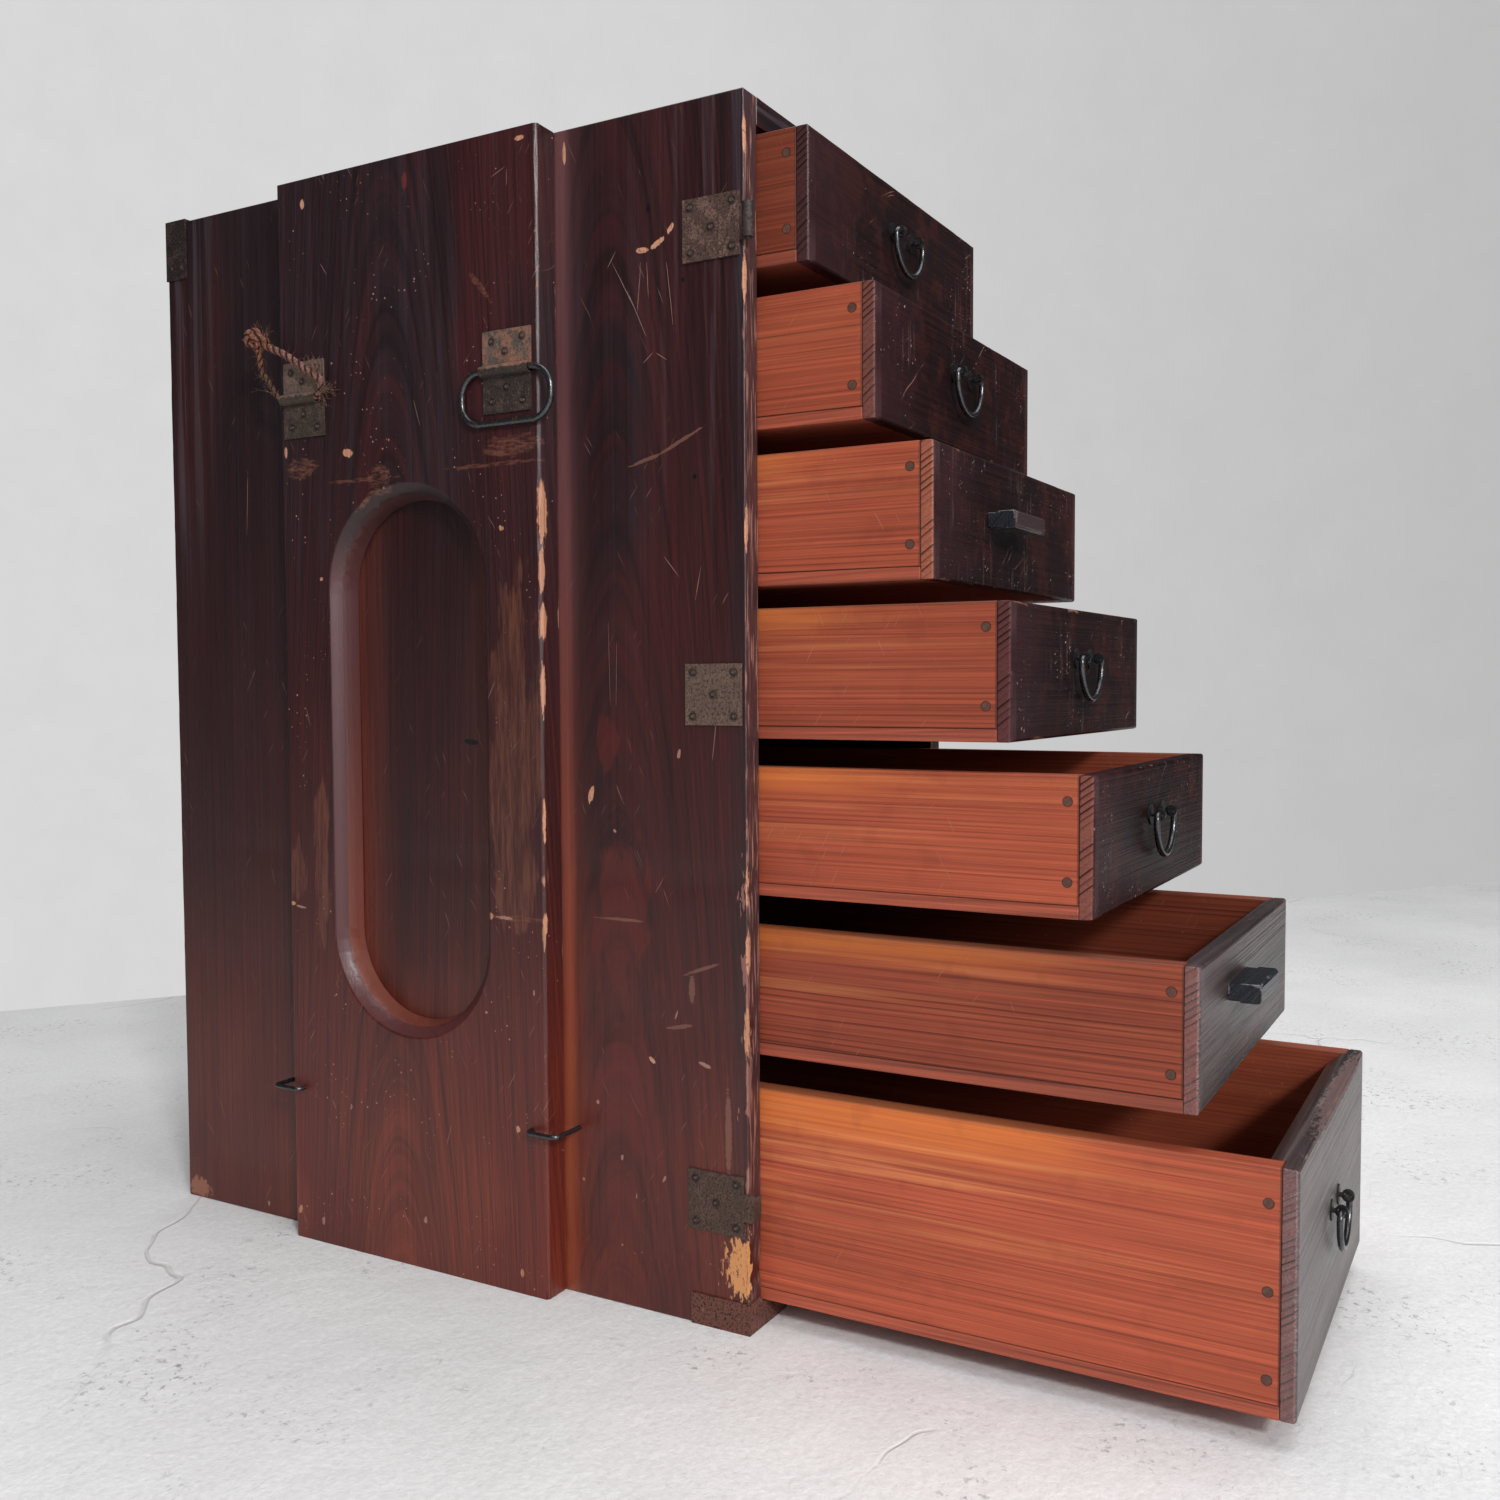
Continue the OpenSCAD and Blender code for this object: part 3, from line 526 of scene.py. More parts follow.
def fibre_material(name, dark, light, ends, laid=True):
    """Dry fibre; laid rope has painted shade in the grooves between its plies."""
    m = Material(name)
    n = m.patch(620, 4, 0.65, 0.35, 0.68)
    knot = m.vec("DISTANCE", m.p, tuple(ROPE_ROUTE[0]))
    light = m.over(light, m.step(knot, 0.026, 0.008), 0.7, ends)
    if laid:
        # painted shade in the grooves between the plies
        groove = m.node("Attribute", attribute_name="ply").outputs["Fac"]
        n = m.mul(m.add(m.mul(n, 0.7), 0.3), m.step(groove, 0.25, 0.8))
    base = m.mix(n, dark, light)
    m.set(Base_Color=base, Roughness=0.9, Specular_IOR_Level=0.2,
          Normal=m.bump(m.noise(m.p, 2200, 3, 0.7), 0.8, 0.0004))
    return m.mat


rope_mat = fibre_material("rope_fibre", srgb(34, 20, 18), srgb(146, 104, 92), srgb(144, 90, 68))
thin_mat = fibre_material("thin_fibre", srgb(36, 22, 20), srgb(104, 74, 56), srgb(140, 88, 64))
hair_mat = fibre_material("loose_fibre", srgb(72, 48, 42), srgb(158, 122, 106), srgb(150, 100, 78),
                          laid=False)
rng = random.Random(5)

near_path = curve_through(list(reversed(ROPE_ROUTE[:FOLD + 1])), 12)
far_path = curve_through(ROPE_ROUTE[FOLD:], 14)


def swell(at):
    """The near strand is loose outside the fold."""
    return 0.00205 + 0.0004 * min(1, max(0, (at - 0.3) / 0.3))


def rope_piece(name, bm, mat, sharp=80):
    return add_piece(name, bm, mat, "rope_remnant", sharp, False)


near_strand = rope_piece("rope_near_strand", rope_tube(near_path, swell, 2, 0.012), rope_mat)
far_strand = rope_piece("rope_far_strand", rope_tube(far_path, lambda at: 0.0018, 2, 0.01, 20),
                        thin_mat)

KNOT_SIZE = 0.0021      # half the gap between the knot's turns
knot_turn = Matrix.Rotation(0.9, 3, "Y") @ Matrix.Rotation(0.5, 3, "Z")
KNOT_STEPS = 132
knot_path = []
for i in range(KNOT_STEPS):
    t = 2 * pi * i / KNOT_STEPS
    far = 2 + cos(3 * t)
    p = Vector((far * cos(2 * t), far * sin(2 * t), 1.25 * sin(3 * t)))
    knot_path.append(ROPE_ROUTE[0] + knot_turn @ p * KNOT_SIZE)
knot = rope_piece("rope_knot", rope_tube(knot_path, lambda at: 0.0026, 2, 0.011, 24, closed=True),
                  rope_mat)

hairs = bmesh.new()
for path, count in ((near_path[40:], 130), (far_path[34:], 60), (knot_path, 120)):
    for _ in range(count):
        i = rng.randrange(1, len(path) - 1)
        t = (path[i + 1] - path[i - 1]).normalized()
        out = any_way(rng)
        out = (out - t * out.dot(t)).normalized()
        hair(hairs, path[i] + out * 0.0018, out * rng.uniform(0.5, 1) + t * rng.uniform(-1.2, 1.2),
             rng.uniform(0.002, 0.0065), 0.00011, 2, rng)
TUFTS = [   # start and end from the fold's middle in millimetres, and how many fibres
    ((-6.4, -17, 12.5), (-8.5, -20.5, 25), 26),
    ((-5, -12, 17), (-7.5, -15, 25.5), 14),
    ((-4.6, -19.5, 3.5), (-5.5, -32, 0.5), 34),
    ((-4, -18.5, 1.5), (-3, -23, -12), 16),
    ((-4, 24, 6), (-6, 36, 14), 10),
    ((-10, 33, 45), (-11, 33.5, 53), 8),
    ((-10, 27, 40), (-11, 24, 50), 8),
]
for start, end, count in TUFTS:
    a, b = ROPE_AT + Vector(start) / 1000, ROPE_AT + Vector(end) / 1000
    for _ in range(count):
        jitter = any_way(rng) * 0.0014
        hair(hairs, a + jitter, b - a + jitter * 3, (b - a).length * rng.uniform(0.5, 1.1), 0.00015,
             1.3, rng)
loose = rope_piece("rope_loose_fibres", hairs, hair_mat, 180)


# Wood
def wood(name, order, heart, pace, ground, line, low, high, curve=0, wave=1.4, wear=0.4,
         wear_width=0.0012, bare=srgb(190, 130, 98), mirror=False, rough=0.42, scratch=0.5,
         specks=0.5, ring=0.7, vein=1.5, grain=1.6, extra=None, bump=0.35, relief=0.00035,
         gloss=0.5, dust=0):
    """A board's material. order names the axes along, across and deep; heart is the place
    that the rings start from; ground and line are colours or functions of the material."""
    m = Material(name)
    start = m.split(m.vec("SUBTRACT", m.p, heart))
    along, across, deep = (start["XYZ".index(a)] for a in order)
    grains = m.group(GRAIN, P=m.join(along, across, deep), Pace=pace, Curve=curve, Wave=wave)
    m.ring, m.vein, m.fibre, m.mottle, m.streak = grains
    ground, line = (c(m) if callable(c) else c for c in (ground, line))
    m.base = m.over(ground, m.ring, ring, line)
    tone = m.add(m.sway(m.vein, vein), m.sway(m.fibre, grain))
    tone = m.mul(m.add(tone, 1), m.add(m.mul(m.mottle, 0.8), 0.6))
    m.base = m.shade(m.base, tone)

    # bare wood along the arrises, fine scratches and small nicks
    raw = m.mix(m.step(m.fibre, 0.35, 0.7), bare, tinted(bare, 0.5))
    near = m.edge(low, high, mirror)
    long = "XYZ".index(order[0])
    stretch = tuple(26 if k == long else 90 for k in range(3))
    patchy = m.noise(m.p, stretch, 4, 0.62)
    width = m.mul(m.step(patchy, 0.66 - wear * 0.22, 0.84 - wear * 0.2), wear_width * 2.6)
    width = m.add(width, m.mul(m.noise(m.p, 520, 2), wear_width * 0.5))
    worn = m.mul(m.step(near, m.add(width, 0.0003), m.mul(width, 0.5)), min(1, wear * 1.6))
    nick = m.group(SCRATCH, P=m.p, Amount=scratch)[0]
    spot = m.group(SPECKS, P=m.p, Scale=260, Size=0.24)
    pale = m.mix(spot["Tone"], raw, srgb(182, 146, 136))
    m.lay(nick, 0.45, pale)
    m.lay(spot["Mask"], specks, pale)
    m.cover(worn, raw)
    if extra:
        worn = extra(m, worn)

    if dust:
        # dust in the open grain, which on the fronts of drawers 6 and 7 is also painted glare
        dust_and_glare = m.mul(m.step(m.vein, 0.4, 0.56), m.step(m.streak, 0.32, 0.58))
        m.lay(dust_and_glare, dust, srgb(152, 136, 132))
    r = m.add(rough, m.sway(m.mottle, 0.25))
    r = m.math("ADD", r, m.mul(worn, 0.35), clamp=True)
    height = m.add(m.mul(m.fibre, 0.7), m.mul(m.vein, 1.2))
    height = m.sub(height, m.mul(worn, 0.5))
    m.set(Base_Color=m.base, Roughness=r, Specular_IOR_Level=gloss,
          Normal=m.bump(height, bump, relief))
    if dust:
        m.set(Sheen_Weight=0.5 * dust, Sheen_Roughness=0.3, Sheen_Tint=srgb(228, 208, 198))
    return m.mat


# Case woods
BARE = srgb(186, 132, 106)
CHIP = srgb(182, 130, 102)


def stain(m):
    """Purple-brown stain that is redder and thinner towards the foot, with bluish veins where
    it is thick."""
    z = m.add(m.z, m.sway(m.mottle, 0.22))
    m.base = m.mix(m.step(z, 0.62, 0.36), srgb(33, 18, 22), srgb(46, 16, 18))
    m.cover(m.step(z, 0.3, 0.04), srgb(92, 32, 21))
    m.lay(m.mul(m.step(m.streak, 0.44, 0.68), m.step(z, 0.25, 0.62)), 0.5, srgb(45, 37, 43))
    m.lay(m.patch((9, 9, 4), 2, 0.5, 0.48, 0.64), 0.5, srgb(70, 20, 19))
    thin = m.patch((14, 14, 6), 3, 0.5, 0.45, 0.62)
    m.lay(m.mul(thin, m.step(z, 0.24, 0.02)), 0.3, srgb(126, 58, 38))
    dark = m.mul(m.step(m.vein, 0.5, 0.34), m.add(m.mul(m.step(z, 0.1, 0.4), 0.3), 0.2))
    m.cover(dark, srgb(24, 12, 15))
    # weathered grain near the upper corners
    bare = m.mul(m.step(m.abs(m.y), 0.165, 0.225), m.step(z, 0.4, 0.62))
    line = m.mul(m.step(m.streak, 0.52, 0.62), bare)
    m.lay(line, 0.55, srgb(78, 70, 76))
    m.lay(m.mul(m.step(m.streak, 0.5, 0.4), bare), 0.65, srgb(16, 13, 16))
    return m.base


def stain_line(m):
    """Ring lines that show as red in the stain."""
    return m.mix(m.step(m.z, 0.6, 0.2), srgb(62, 21, 24), srgb(92, 27, 20))


def case_board(node, name, order, heart, pace, curve, shape, looks={}, **more):
    """Dresses a board of the case; shape and more are for board(), and looks are for wood()."""
    lo, hi = stretched(node, order[0])
    given = dict(wave=1.5, wear=0.5, wear_width=0.0011, bare=BARE, rough=0.4, scratch=0.8,
                 specks=0.7, ring=0.55, vein=1.9, bump=0.5) | looks
    mat = wood(name, order, heart, pace, stain, stain_line, lo, hi, curve=curve, **given)
    board(node, mat, order[0], *shape, **more)


SIDE_X = -CASE_X
RECESS_Z = 0.3235       # middle of the recess in the pad
RECESS_HALF = 0.1755    # half its height
RECESS_BEND = 0.4335    # where its upper end starts to bend
RECESS_R = 0.059        # half its width at the floor
RECESS_RIM = 0.078      # and at the outside of its bevel


def spots(x, rows):
    """Marks on the face at x from rows of y, z and two radii in millimetres, and of the turn and
    the radius along X where they aren't 0 and 10 mm."""
    out = []
    for y, z, ry, rz, *rest in rows:
        turn, deep = rest + [0, 10][len(rest):]
        out.append(((x, y / 1000, z / 1000), (deep / 1000, ry / 1000, rz / 1000), turn))
    return out


# Chips and worn places that the photograph shows
SIDE_CHIPS = spots(SIDE_X, [
    (-129, 306.5, 1.8, 5.2, 0.25), (-168.5, 621.5, 4, 1.7, 0.1), (-179, 624, 5.2, 1.7, -0.5),
    (-188, 631, 3.2, 1.4, -0.9), (-236, 674, 1, 12, 0, 2.6), (-236, 597, 1.5, 14, 0, 3.4),
    (-236.2, 460, 1, 15, 0, 3), (-236, 258, 1.4, 11, 0, 3.4), (-236, 220, 1, 14, 0, 3.4),
    (-235.8, 174, 2.6, 15, 0, 4), (-171.1, 151.4, 2.6, 1.3, 0.7), (-114, 686, 1.2, 6),
    (-200, 68, 1.6, 1.6)])
SIDE_RUBS = spots(SIDE_X, [
    (-193, 510.4, 17, 1, -0.42), (-170, 502, 11, 1.1, -0.25), (-206, 208.5, 12, 1, -0.35),
    (-150, 233, 18, 0.9), (-199, 196, 2, 8), (-190, 173, 9, 1.2, -0.2), (-223, 115, 2.2, 24)])
SIDE_SCRATCHES = spots(SIDE_X, [
    (-156, 602, 0.22, 16, -0.5), (-165, 585, 0.22, 15, -0.44), (-166, 600, 0.22, 14, 0.1),
    (-172, 604, 0.22, 11, -0.05), (-187, 595, 0.22, 20, -0.12), (-147, 619, 0.22, 5, 0.6),
    (-181, 560, 0.22, 4.5, -1), (-172, 560, 0.22, 4.5, 0.9), (-143, 385, 0.12, 26, -0.02),
    (-148, 378, 0.12, 20, 0.02), (-215, 340, 0.22, 11, 0.12), (-187, 440, 0.22, 8, -0.7),
    (-205, 430, 0.22, 9, 0.2), (160, 500, 0.22, 20, 0.05)])
FOOT_BREAK = spots(SIDE_X, [(-233, 38.5, 12.5, 19, 0.1, 5)])
SIDE_NICKS = spots(SIDE_X, [
    (-191.3, 332.3, 1.2, 2.6, 0.2), (-145.9, 285.6, 1.4, 0.9, 0.6), (-207.8, 152.9, 4, 1.2, 0.3),
    (-149.2, 89.5, 1, 1.8), (-120.8, 71.7, 0.8, 1), (153.1, 7.8, 1.4, 1.6),
    (-159.3, 67.6, 0.5, 1.6), (-179.2, 81.5, 0.8, 2.4, 0.5), (-131.8, 120.7, 1, 1.4),
    (-188, 180, 0.5, 3, 0.4)])
SIDE_HOLES = spots(SIDE_X, [
    (-36.7, 336.8, 6, 1.8, 0.1, 20), (-173, 644.3, 1.4, 2.2), (-203, 490, 1.4, 1.6),
    (-196, 601, 1.1, 1.3)])
SIDE_HEART = spots(SIDE_X, [
    (-150, 235, 22, 45, 0, 20), (-150, 110, 26, 50, 0, 20), (-142, 338, 7, 14, 0, 20)])
SIDE_RUST = spots(SIDE_X, [(224, 7, 11, 7)])
LONG_GRIT, NICK_GRIT, CHIP_GRIT = (160, 160, 160), (600, 600, 300), (700, 700, 180)


def strap_side_marks(m, worn):
    y, z = m.y, m.z
    m.cover(0.2, (0, 0, 0))
    # a painted glow of light reflected from the pad beside its front edge, laid along the grain streaks
    off = m.sub(m.mul(y, -1), PAD_Y)
    painted_glow_strip = m.mul(m.band(off, 0.004, 0.001, 0.007), 0.7)
    painted_glow_strip = m.add(painted_glow_strip, m.mul(m.band(off, 0, 0, 0.026), 0.5))
    painted_glow_strip = m.mul(painted_glow_strip, m.add(m.mul(m.streak, 1.3), m.mul(m.mottle, 0.5)))
    glow = m.mix(m.step(z, 0.55, 0.1), srgb(96, 58, 60), srgb(138, 68, 46))
    m.cover(m.mul(painted_glow_strip, 0.85, clamp=True), glow)
    # red heart figure low on the board, and a redder foot
    heart = m.marks(SIDE_HEART, 3.4, (70, 70, 22))
    m.cover(m.mul(heart, m.add(m.mul(m.vein, 1), -0.15)), srgb(92, 28, 20))
    # the recess floor is redder along its sides and foot
    inner = m.step(m.abs(y), RECESS_R + 0.002, RECESS_R - 0.001)
    tall = m.band(z, RECESS_Z, RECESS_HALF, 0.002)
    rim = m.either(m.step(y, 0.022, 0.056), m.step(y, -0.03, -0.056))
    rim = m.mul(m.either(rim, m.step(z, 0.2, 0.15)), tall)
    rim = m.mul(m.mul(rim, inner), m.add(m.mul(m.streak, 1.7), -0.4))
    m.cover(m.mul(rim, 0.8, clamp=True), srgb(116, 54, 40))
    # painted shadow where the recess floor meets its front and top walls
    up = m.either(m.sub(z, RECESS_BEND), 0)
    foot = m.step(m.vec("LENGTH", m.join(y, up, 0)), RECESS_R - 0.0065, RECESS_R)
    foot = m.mul(m.mul(foot, tall), inner)
    foot = m.mul(foot, m.either(m.step(y, 0.01, -0.03), m.step(z, 0.445, 0.465)))
    m.lay(foot, 0.85, srgb(16, 7, 7))
    m.cover(m.marks(SIDE_HOLES, 0.4), (0.002, 0.001, 0.001))
    # darker beside the front arris, and a flaking front edge
    m.lay(m.step(y, -CASE_Y + 0.016, -CASE_Y + 0.002), 0.45, srgb(26, 22, 28))
    front = m.step(y, -CASE_Y + 0.001, -CASE_Y + 0.0003)
    flake = m.patch((700, 700, 38), 3, 0.6, 0.52, 0.66)
    edge = m.over(srgb(66, 42, 44), flake, 0.8, srgb(176, 130, 116))
    m.lay(front, 0.75, edge)
    ragged = m.noise(m.p, (160, 160, 34), 4, 0.65)
    reach = m.add(m.mul(m.band(z, 0.215, 0.08, 0.06), 0.006), 0.003)
    reach = m.mul(m.step(ragged, 0.44, 0.76), reach)
    off = m.either(m.add(y, CASE_Y), m.sub(m.x, SIDE_X))
    bare_edge = m.step(off, reach, m.sub(reach, 0.0008))
    m.lay(bare_edge, 0.75, srgb(142, 98, 88))
    m.lay(m.marks(SIDE_RUBS, 1.2, (300, 120, 700)), 0.6, srgb(122, 82, 70))
    m.lay(m.marks(SIDE_SCRATCHES, 1, LONG_GRIT), 0.6, srgb(158, 122, 112))
    m.lay(m.marks(SIDE_RUST, 2), 0.9, srgb(146, 92, 70))
    m.lay(m.marks(SIDE_NICKS, 1.4, NICK_GRIT), 0.75, srgb(164, 120, 104))
    chips = m.marks(SIDE_CHIPS, 1.1, CHIP_GRIT)
    torn = m.marks(FOOT_BREAK, 2.6, (420, 420, 160))
    pits = m.patch((900, 900, 400), 3, 0.6, 0.56, 0.68)
    raw = m.over(CHIP, torn, 0.8, srgb(206, 142, 84))
    raw = m.over(raw, pits, 0.85, srgb(104, 62, 38))
    m.cover(m.either(chips, torn), raw)
    return m.either(worn, m.either(chips, torn))


PAD_CHIPS = spots(PAD_X, [
    (46.4, 521.5, 4.4, 2.6, 0.2), (102.1, 526.1, 1.3, 3.6), (-107, 474, 2.4, 19, 0, 7),
    (-107, 440, 1.8, 15, 0, 4), (-107.2, 409.5, 2.4, 11.5, 0, 5.5), (-107.2, 370, 1.6, 18, 0, 3.5),
    (-107.2, 290, 1.4, 16, 0, 2.5), (-107.2, 230, 1.6, 8, 0, 3), (-77.6, 466.6, 1.9, 1.5, 0.5),
    (72, 442, 1.4, 1.3), (-65.2, 231.3, 3, 2.2, 0.3), (104, 227, 3, 1.4),
    (102, 19, 1.6, 3.2, 0.4), (-87, 13, 1.4, 2.6), (-85, 102, 1.8, 2.2), (83, 684, 1.8, 3),
    (-95, 693, 4, 1.4)])
PAD_RUBS = spots(PAD_X, [
    (-85, 231.2, 27, 1.6), (-87, 515, 23, 6), (-74, 504.8, 38, 1.2), (35, 503.5, 32, 1.2),
    (19.2, 502, 9.5, 10, -0.5), (30, 492, 10, 1.6, -0.7), (88, 515, 14, 7), (-64, 611, 2, 12, -0.7)])
PAD_WORN = spots(PAD_X, [
    (-86, 330, 20, 85), (-86, 255, 20, 30), (76, 260, 7, 50), (98, 245, 10, 20)])
PAD_SCRATCHES = spots(PAD_X, [
    (65, 640, 0.22, 5, -0.6), (-78, 676, 0.22, 6, 1.2), (-85, 672, 0.22, 5),
    (-12, 542, 0.22, 9, -0.3), (30, 380, 0.22, 12, 0.1), (-30, 90, 0.22, 7, 0.3)])
PAD_NICKS = spots(PAD_X, [
    (-61.3, 171.2, 1, 0.8), (-98.3, 186.8, 0.6, 1.8), (-9.5, 31.7, 1.2, 2.4, 0.1),
    (80.8, 15.1, 1.4, 2.6, 0.1), (96.3, 225.2, 4.6, 0.8, 0.1), (-77, 231, 6, 1),
    (31.1, 101.6, 0.6, 0.6)])
PAD_STAIN = spots(PAD_X, [(-5, 684, 2.2, 5)])


def pad_marks(m, worn):
    z = m.z
    within = m.step(m.abs(m.y), RECESS_RIM + 0.002, RECESS_RIM)
    deep = m.mul(m.step(m.x, PAD_X + 0.0002, PAD_X + 0.001), within)
    wall = m.mul(m.step(m.x, PAD_X + 0.006, PAD_X + 0.0068), within)
    # the recess bevel; painted shade darkens its top arc
    bevel = m.mix(m.step(z, 0.475, 0.44), srgb(42, 24, 24), srgb(82, 44, 47))
    m.lay(deep, 0.75, bevel)
    warm = m.mix(m.step(z, 0.42, 0.17), srgb(70, 36, 34), srgb(116, 60, 44))
    m.cover(m.mul(wall, m.add(m.mul(m.streak, 1), 0.2)), warm)
    m.lay(m.marks(PAD_STAIN, 1), 0.6, srgb(110, 42, 36))
    pale = m.marks(PAD_WORN, 2.4, (90, 90, 24))
    lines = m.patch((380, 380, 30), 4, 0.7, 0.38, 0.66)
    m.cover(m.mul(pale, m.add(m.mul(lines, 0.34), 0.08)), srgb(128, 78, 56))
    scrape = m.marks(PAD_RUBS, 1.4, (200, 90, 300))
    grit = m.patch((300, 130, 640), 4, 0.72, 0.36, 0.66)
    m.lay(m.mul(scrape, grit), 0.62, srgb(120, 76, 58))
    m.lay(m.marks(PAD_SCRATCHES, 1, LONG_GRIT), 0.5, srgb(158, 122, 112))
    m.lay(m.marks(PAD_NICKS, 1.4, NICK_GRIT), 0.75, srgb(164, 120, 104))
    chips = m.marks(PAD_CHIPS, 1.1, CHIP_GRIT)
    raw = m.mix(m.step(m.fibre, 0.4, 0.7), CHIP, srgb(140, 90, 66))
    m.cover(chips, raw)
    return m.either(worn, chips)


case_board("strap_side_board", "strap_side_wood", "ZYX", (0, -0.146, 0), (24, 0, 240), 2300,
           (0.001, 0.007, 0.0011, 1), dict(extra=strap_side_marks), dents=[
               ((SIDE_X, -CASE_Y, z), radius, deep) for z, radius, deep in (
                   (0.0375, 0.02, 0.0026), (0.597, 0.015, 0.0012), (0.258, 0.012, 0.0013),
                   (0.174, 0.016, 0.0016))])
# the two stages of the recess overlap by 0.01 mm, which would hold the bevel back to nothing
case_board("strap_pad", "pad_wood", "ZYX", (0, 0.012, 0), (26, 0, 240), 2500,
           (0.0009, 0.007, 0.0009, 6), dict(extra=pad_marks, wear_width=0.0009),
           merge=5e-5, clamp=False, dents=[
               ((PAD_X, -PAD_Y, 0.47), 0.02, 0.002), ((PAD_X, -PAD_Y, 0.4095), 0.012, 0.0018)])
case_board("far_side_board", "far_side_wood", "ZYX", (0, 0.3, 0), (14, 30, 240), 420,
           (0.001, 0.009, 0.001, 2))
case_board("top_board", "top_wood", "XYZ", (0.1, 0.05, 0.7), (16, 0, 240), 900,
           (0.0009, 0.009, 0.0008, 3))
case_board("bottom_board", "bottom_wood", "XYZ", (0, 0.1, 0), (16, 0, 240), 900,
           (0.0009, 0.009, 0.0008, 4))
case_board("back_planks", "back_wood", "ZXY", (0.06, 0.2, 0), (22, 0, 240), 1900,
           (0.0007, 0.012, 0.0006, 5), dict(specks=0.25))

runner_lo, runner_hi = stretched("drawer_runners", "Y")
runner = wood("runner_wood", "YZX", (0, 0, 0), (4, 230, 200), srgb(92, 50, 34),
              srgb(64, 32, 22), runner_lo, runner_hi, wear=0)

# Drawer woods
# Each drawer's side colour as a factor: partly the wood's own tone, partly painted shade that is
# deepest on the top drawer
SIDE_TONE_AND_SHADE = {1: 0.48, 2: 0.92, 3: 0.94, 4: 0.8, 5: 1.02, 6: 0.76, 7: 1.16}
SIDE_RINGS = {1: 0.45, 2: 0.4, 3: 0.5, 4: 0.55, 5: 0.5, 6: 0.95, 7: 0.45}
PEGS = {k: (0.019, 0.0605) for k in range(1, 7)} | {7: (0.019, 0.0625, 0.106)}
BOTTOM_T = 0.007


def drawer_extra(k, lo, hi, m, worn):
    """Orange streaks that grow higher up and further from the front, painted shade on the inner faces,
    dark joints, and rings round the pegs.
    """
    tone_and_shade = SIDE_TONE_AND_SHADE[k]
    front_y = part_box(f"drawer_{k}_front")[0][1]
    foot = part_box(f"drawer_{k}_sides")[0][2] - BOTTOM_T
    y, z = m.y, m.z
    height = m.math("DIVIDE", m.sub(z, lo[2]), hi[2] - lo[2])
    reach = m.step(m.add(y, m.sway(m.mottle, 0.4)), front_y + 0.04, front_y + 0.2)
    upper_rear = m.mul(m.add(m.mul(reach, 0.8), 0.2), m.step(height, 0.1, 0.85))
    light = m.mul(m.step(m.streak, 0.46, 0.66), upper_rear)
    m.lay(light, 0.6, tinted(srgb(214, 134, 82), tone_and_shade))
    high = m.mul(m.step(height, 0.7, 0.95), m.mul(reach, m.add(m.mul(m.vein, 1.4), -0.1)))
    m.cover(high, tinted(srgb(202, 112, 48), tone_and_shade))
    # painted shade on the inner faces of the sides
    shaded_inside = m.step(m.abs(m.x), hi[0] - 0.0095, hi[0] - 0.0115)
    m.lay(shaded_inside, 0.55, tinted(srgb(84, 38, 24), tone_and_shade))
    # smudges, dark joints and a greasy arris
    m.lay(m.patch(38, 3, 0.55, 0.56, 0.66), 0.12, srgb(84, 32, 22))
    grime = m.step(m.abs(m.sub(z, lo[2])), 0.001, 0.0004)
    grime = m.either(grime, m.step(m.sub(y, lo[1]), 0.0012, 0.0004))
    m.lay(grime, 0.75, srgb(46, 20, 14))
    arris = m.mul(m.step(z, hi[2] - 0.0012, hi[2] - 0.0003), m.step(m.mottle, 0.35, 0.6))
    m.lay(arris, 0.6, srgb(92, 62, 52))
    for peg in PEGS[k]:
        d = m.vec("DISTANCE", m.join(0, y, z), (0, front_y + 0.014, foot + peg))
        m.lay(m.band(d, 0.0025, 0.0001, 0.0004), 0.8, srgb(40, 18, 14))
    return worn


for k, tone_and_shade in SIDE_TONE_AND_SHADE.items():
    tag = f"drawer_{k}"
    ground, line = tinted(srgb(155, 73, 50), tone_and_shade), tinted(srgb(94, 34, 23), tone_and_shade)
    lo, hi = (Vector(c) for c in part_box(tag + "_sides"))
    one_lo = Vector((hi[0] - 0.0125, lo[1], lo[2]))
    lift = Vector((0, 0.05 * k, 0.031 * k))
    sides = wood(tag + "_side_wood", "YZX", lo - lift, (2 - 0.9 * k, 290, 170), ground, line,
                 one_lo, hi, curve=90 * (k % 3), wave=2.4, wear=0.12, wear_width=0.0008,
                 bare=srgb(196, 126, 94), mirror=True, rough=0.5, scratch=0.8, specks=0.6,
                 ring=SIDE_RINGS[k], vein=1, grain=1.5, bump=0.45, gloss=0.28,
                 extra=partial(drawer_extra, k, lo, hi))
    board(tag + "_sides", sides, "Y", 0.0006, 0.012, 0.0004, 10 + k)
    for part, order, seed in (("_bottom", "YXZ", 20), ("_back", "XZY", 30)):
        lo, hi = stretched(tag + part, order[0])
        mat = wood(tag + part + "_wood", order, Vector((0.02 * k, 0.3, 0.1 * k)),
                   (5, 150, 170), ground, line, lo, hi, curve=300, wave=2.2, wear=0.1,
                   wear_width=0.0008, bare=srgb(176, 104, 72), rough=0.55, scratch=0.3, specks=0.3,
                   ring=0.6, bump=0.3)
        board(tag + part, mat, order[0], 0.0005, 0.014, 0.0004, seed + k)

# Each front's bump, the bump's depth in millimetres, gloss, dust (on drawers 6 and 7 partly painted
# glare) and end grain
FRONTS = {
    1: (0.6, 0.35, 0.22, 0, srgb(58, 34, 34)),
    2: (0.6, 0.35, 0.12, 0, srgb(96, 58, 52)),
    3: (0.6, 0.35, 0.2, 0, srgb(132, 76, 60)),
    4: (0.6, 0.35, 0.14, 0, srgb(78, 44, 44)),
    5: (0.5, 0.45, 0.05, 0, srgb(110, 66, 58)),
    6: (1, 0.8, 0.9, 0.08, srgb(104, 54, 48)),
    7: (1, 1, 1, 0.16, srgb(96, 54, 52))}


